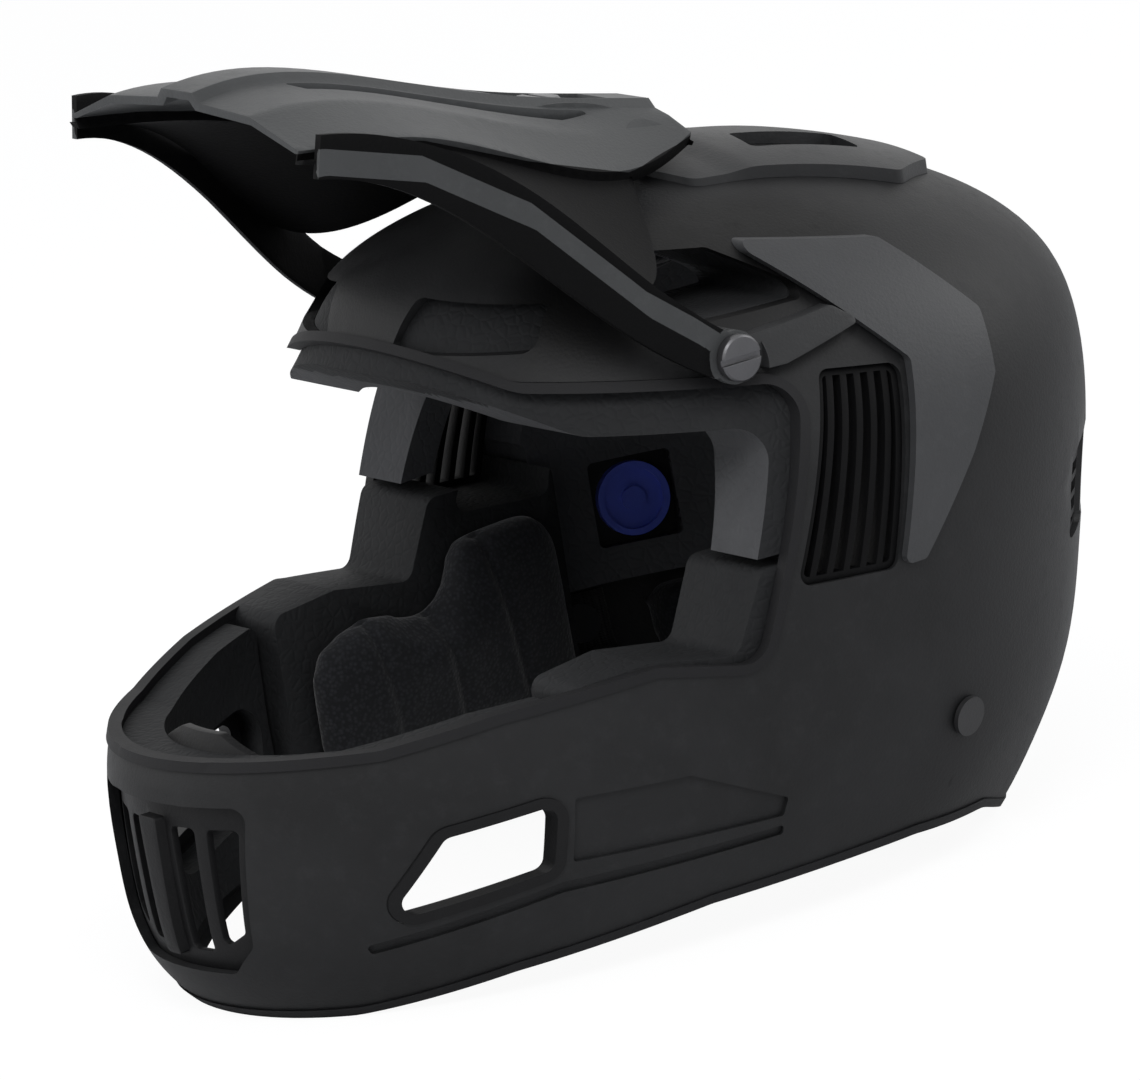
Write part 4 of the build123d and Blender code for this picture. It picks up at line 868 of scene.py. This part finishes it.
def wall_frame(place, turn_degrees):
    """Point of the skin between two levels at one turn, the direction to the head and the direction down."""
    row = int(place)
    sizes = LEVELS * (CROWN_HEIGHT, CHIN_REACH, HALF_LENGTH, HALF_WIDTH, HALF_LENGTH, 1)
    height, front, rear, width, widest, power = sizes[row] + (sizes[row + 1] - sizes[row]) * (place - row)
    turn = math.radians(turn_degrees)
    across, along = math.cos(turn), math.sin(turn)
    reach = rear - widest if along > 0 else widest + front
    x = width * math.copysign(abs(across) ** (2 / power), across)
    y = widest + reach * math.copysign(abs(along) ** (2 / power), along)
    above, below = sizes[row + 1], sizes[row - 1]
    slope = (below[3] - above[3]) / (above[0] - below[0])
    inwards = Vector((-across, -along * width / reach, -slope)).normalized()
    sideways = Vector((-along, across, 0))
    sideways = (sideways - inwards * sideways.dot(inwards)).normalized()
    return Vector((x, y, RIM_DROP + height)), inwards, inwards.cross(sideways)


rivet, inwards, downwards = wall_frame(RIVET_LEVEL, RIVET_TURN)
strap_aim = Vector((inwards.x, inwards.y, 0)).normalized()
strap_side = Vector((strap_aim.y, -strap_aim.x, 0))


def strap_point(drop):
    """Reach and height on the strap's middle line, a drop below the rivet along the wall."""
    point = rivet + inwards * (RIVET_DEPTH + WEB_WALL / 2) + downwards * drop
    return (point - rivet).dot(strap_aim), point.z


def run_of(path):
    """Length of the path up to each of its points."""
    return np.concatenate([[0], np.cumsum(np.linalg.norm(np.diff(path, axis=0), axis=1))])


def rounded_route(corners):
    """Evenly spaced points along straight runs whose inner corners are arcs of one radius."""
    corners, bend = [np.array(c, float) for c in corners], STRAP_BEND
    pieces = [corners[0][None]]
    for before, here, after in zip(corners, corners[1:], corners[2:]):
        a, b = (before - here) / np.linalg.norm(before - here), (after - here) / np.linalg.norm(after - here)
        half = math.acos(np.clip(a @ b, -1, 1)) / 2
        middle = here + (a + b) / np.linalg.norm(a + b) * bend / math.sin(half)
        start, end = here + a * bend / math.tan(half) - middle, here + b * bend / math.tan(half) - middle
        t, turn = np.linspace(0, 1, ARC_POINTS)[:, None], math.pi - 2 * half
        arc = np.sin((1 - t) * turn) * start + np.sin(t * turn) * end
        pieces.append(middle + arc / math.sin(turn))
    pieces.append(corners[-1][None])
    path = np.concatenate(pieces)
    run = run_of(path)
    even = np.linspace(0, run[-1], int(run[-1] / ROUTE_STEP) + 2)
    return np.stack([np.interp(even, run, path[:, k]) for k in range(2)], 1), even


def ring_loop():
    """Closed racetrack round both ring bars, in the middle of the webbing that is sewn there."""
    turn = np.linspace(0, 2 * math.pi, LOOP_POINTS + 1) + math.pi / 2
    path = np.array(RING_PLACE) + (RING_WIRE + WEB_WALL / 2) * np.stack([np.cos(turn), np.sin(turn)], 1)
    path[:, 0] += np.where(np.cos(turn) < -1e-9, -1, 1) * RING_PITCH / 2
    return path, run_of(path)


def cut_at_loop(path, run):
    """The part of a route outside the middle line of the ring loop."""
    off = path - np.array(RING_PLACE)
    off[:, 0] -= np.clip(off[:, 0], -RING_PITCH / 2, RING_PITCH / 2)
    outside = np.linalg.norm(off, axis=1) > RING_WIRE + WEB_WALL / 2
    return path[outside], run[outside]


def ribbon(path, run, mirror_x, closed):
    """Corners, faces and map of a strap along a path. Its flat section has round edges, and half its height is
    the half thickness plus a cosine wave across, which makes the ribs."""
    way = np.gradient(path, axis=0)
    if closed:
        way[0] = way[-1] = path[1] - path[-2]
    way /= np.linalg.norm(way, axis=1, keepdims=True)
    across = np.stack([-way[:, 1], way[:, 0]], 1)
    half = WEB_WIDTH / 2 - WEB_SIDE_EASE
    flat = np.linspace(-half, half, WEB_POINTS)
    thick = WEB_WALL / 2 - WEB_FACE_EASE
    edge = np.sqrt(np.clip(1 - np.clip((np.abs(flat) - half + thick) / thick, 0, 1) ** 2, 0, 1))
    height = thick * edge + RIB_HEIGHT * np.cos(flat * 2 * math.pi / RIB_PITCH) * edge - WEB_SINK
    side = np.concatenate([flat, flat[::-1]])
    lift = np.concatenate([height, -height[::-1]])
    plane = path[:, None] + across[:, None] * lift[None, :, None]
    origin = np.array([rivet.x, rivet.y, 0])
    co = (origin + plane[..., :1] * np.array(strap_aim) + side[None, :, None] * np.array(strap_side)
          + plane[..., 1:] * np.array([0, 0, 1.0]))
    co[..., 0] *= mirror_x
    rows, cols = co.shape[:2]
    i, j = np.meshgrid(np.arange(rows - 1), np.arange(cols), indexing="ij")
    k = (j + 1) % cols
    faces = np.stack([i * cols + j, (i + 1) * cols + j, (i + 1) * cols + k, i * cols + k], -1).reshape(-1, 4)
    faces = faces.tolist()
    if not closed:
        faces += [list(range(cols - 1, -1, -1)), [(rows - 1) * cols + c for c in range(cols)]]
    if mirror_x < 0:
        faces = [face[::-1] for face in faces]
    grid = np.stack(np.broadcast_arrays(side[None, :] * MM, run[:, None] * MM), -1).reshape(-1, 2)
    return co.reshape(-1, 3) * MM, faces, grid


def webbing(name, route, mirror_x=1.0, ringed=False):
    """Strap along its route; a ringed one ends in the loop round the ring bars."""
    path, run = rounded_route(route)
    if ringed:
        parts = [ribbon(*cut_at_loop(path, run), mirror_x, False), ribbon(*ring_loop(), mirror_x, True)]
    else:
        parts = [ribbon(path, run, mirror_x, False)]
    first, faces = 0, []
    for co, part_faces, _ in parts:
        faces += [[corner + first for corner in face] for face in part_faces]
        first += len(co)
    grid = np.concatenate([part[2] for part in parts])
    mesh = bpy.data.meshes.new(name + "_webbing")
    mesh.from_pydata(np.concatenate([part[0] for part in parts]).tolist(), [], faces)
    mesh.shade_smooth()
    mesh.set_sharp_from_angle(angle=math.radians(WEB_SHARP))
    loop = read(mesh.loops, "vertex_index", 1, np.int32)[:, 0]
    mesh.uv_layers.new(name="weave").data.foreach_set("uv", grid[loop].astype(np.float32).ravel())
    mesh.materials.append(strap_weave)
    print(name, "length", round(float(run[-1])), "mm")
    stands_for(linked(name + "_webbing", mesh), name)

# %% [markdown]
# The long strap hangs from the left rivet and lies on the floor. The short one ends at the two rings.

# %% Long strap, short strap and its ring loop
webbing("chin_strap_left", [
    strap_point(-STRAP_UP), strap_point(STRAP_DOWN), (STRAP_FOOT, STRAP_FLOOR), (STRAP_REACH, STRAP_FLOOR),
])
webbing("chin_strap_right", [strap_point(-STRAP_UP), strap_point(SHORT_DOWN), RING_PLACE], -1.0, ringed=True)

# %% [markdown]
# The rest are crisp hard pieces whose solids already have the right shape. Their edges only need the small
# rounding that moulding leaves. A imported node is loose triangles, so each is welded into a copy, its flat faces
# are joined, and a bevel follows its sharp edges.


# %% Hard pieces with rounded edges
SHARP_EDGE, FLAT_ANGLE = 40.0, 0.6


def crisp(name, material, width=0.5, line=None, below=None, limit=None):
    """Welded copy of a node with a small bevel on its sharp edges.

    Where a line is given as a measure, the part for which it is negative takes the second material. A limit
    splits the triangles of a curved piece to that length, and then they aren't joined to flat faces."""
    co, tri = node_triangles(name)
    label, going = np.full(len(co), -1), limit is not None
    while going:
        co, tri, label, going = split_long(co, tri, label, limit)
    if line:
        co, tri = cut_along(co, tri, line)
    piece = new_piece(name + "_finished", co, tri, material, SHARP_EDGE)
    if line:
        two_tone(piece, below, lambda centre: line(centre) < 0)
    if limit is None:
        flat = piece.modifiers.new("flat faces", "DECIMATE")
        flat.decimate_type, flat.angle_limit, flat.delimit = "DISSOLVE", math.radians(FLAT_ANGLE), {"MATERIAL"}
        settle(piece)
    soft_edge = piece.modifiers.new("edges", "BEVEL")
    soft_edge.width, soft_edge.segments = width * MM, 2
    soft_edge.limit_method, soft_edge.angle_limit = "ANGLE", math.radians(SHARP_EDGE)
    soft_edge.use_clamp_overlap = True
    settle(piece)
    piece.data.shade_smooth()
    piece.data.set_sharp_from_angle(angle=math.radians(SHARP_EDGE))
    print(name, "faces", len(piece.data.polygons))
    stands_for(piece, name)


VISOR_STATIONS = HALF_LENGTH * np.array((-0.691, -0.567, -0.397, -0.170, 0.057, 0.250))
VISOR_EDGES = RIM_DROP + CROWN_HEIGHT * np.array((1.208, 1.195, 1.166, 1.090, 1.027, 1.039))
ARM_STATIONS = HALF_LENGTH * np.array((-0.700, -0.365, -0.190, -0.090, 0.080))
ARM_INSIDES = HALF_WIDTH * np.array((0.560, 0.712, 0.815, 0.864, 0.864))
ARM_TOP_STATIONS = HALF_LENGTH * np.array((-0.664, -0.500, -0.330, -0.165, 0.020))
ARM_TOPS = RIM_DROP + CROWN_HEIGHT * np.array((1.228, 1.190, 1.094, 0.940, 0.815))
STRIP_DEPTH, STRIP_HALF, STRIP_FACE, FACE_SHARPNESS = 8.5, 4.2, 1.5, 10.0
PIVOT_ALONG, PIVOT_LEVEL, EAR_RADIUS, ARM_EASE, EDGE_DROP = -3.0, 184.5, 10.0, 0.2, 1.0


def visor_line(co):
    """Height over the visor's edge, under which it is black: painted shade for the dark under the visor. On an
    arm, depth inside the light strip of its outer face, or inside its ear, which stay grey as a painted
    highlight."""
    x, y, z = np.abs(co[:, 0]), co[:, 1], co[:, 2]
    inside = np.interp(y, ARM_STATIONS, ARM_INSIDES)
    arm = x > inside - ARM_EASE
    over_edge = z - np.interp(y, VISOR_STATIONS, VISOR_EDGES) + EDGE_DROP
    in_strip = STRIP_HALF - np.abs(z - np.interp(y, ARM_TOP_STATIONS, ARM_TOPS) + STRIP_DEPTH)
    in_strip = np.minimum(in_strip, FACE_SHARPNESS * (x - inside - STRIP_FACE))
    in_ear = EAR_RADIUS - np.hypot(y - PIVOT_ALONG, z - PIVOT_LEVEL)
    return np.where(arm, np.maximum(in_strip, in_ear), over_edge)


# The visor is grey on top and black below its edge as painted shade, with a grey strip and ear on each arm as
# painted highlight.
crisp("visor", visor_grey, line=visor_line, below=visor_shade_black, limit=FINE_LIMIT)
crisp("visor_saddle", hard_black)
for side in ("left", "right"):
    crisp("visor_mount_" + side, fairing_grey)
    crisp("visor_screw_" + side, screw_metal, 0.3)
    crisp("side_vent_grille_" + side, grille_black, 0.3)
    crisp("cheek_block_" + side, foam_black, 1.0)
crisp("visor_screw_centre", screw_metal, 0.3)
crisp("mouth_grille", hard_black, 0.3)
crisp("rear_vent_grilles", grille_black, 0.25)
crisp("crown_vent_grilles", hard_black, 0.25)
crisp("breath_guard", hard_black, 0.4)

# %% [markdown]
# Studs, dampers, nuts, rivets and rings are small and already right as solids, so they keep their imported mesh
# and only take a material.

# %% Small hardware keeps its solids
KEPT = {
    "pad_snaps": hard_black, "damper_seats": hard_black, "damper_discs": damper_rubber,
    "visor_nuts": screw_metal, "strap_anchor_left": black_metal, "strap_anchor_right": black_metal,
    "d_ring_inner": ring_steel, "d_ring_outer": ring_steel,
}
for name, paint in KEPT.items():
    nodes[name].data.materials.clear()
    nodes[name].data.materials.append(paint)
print("kept", len(KEPT))
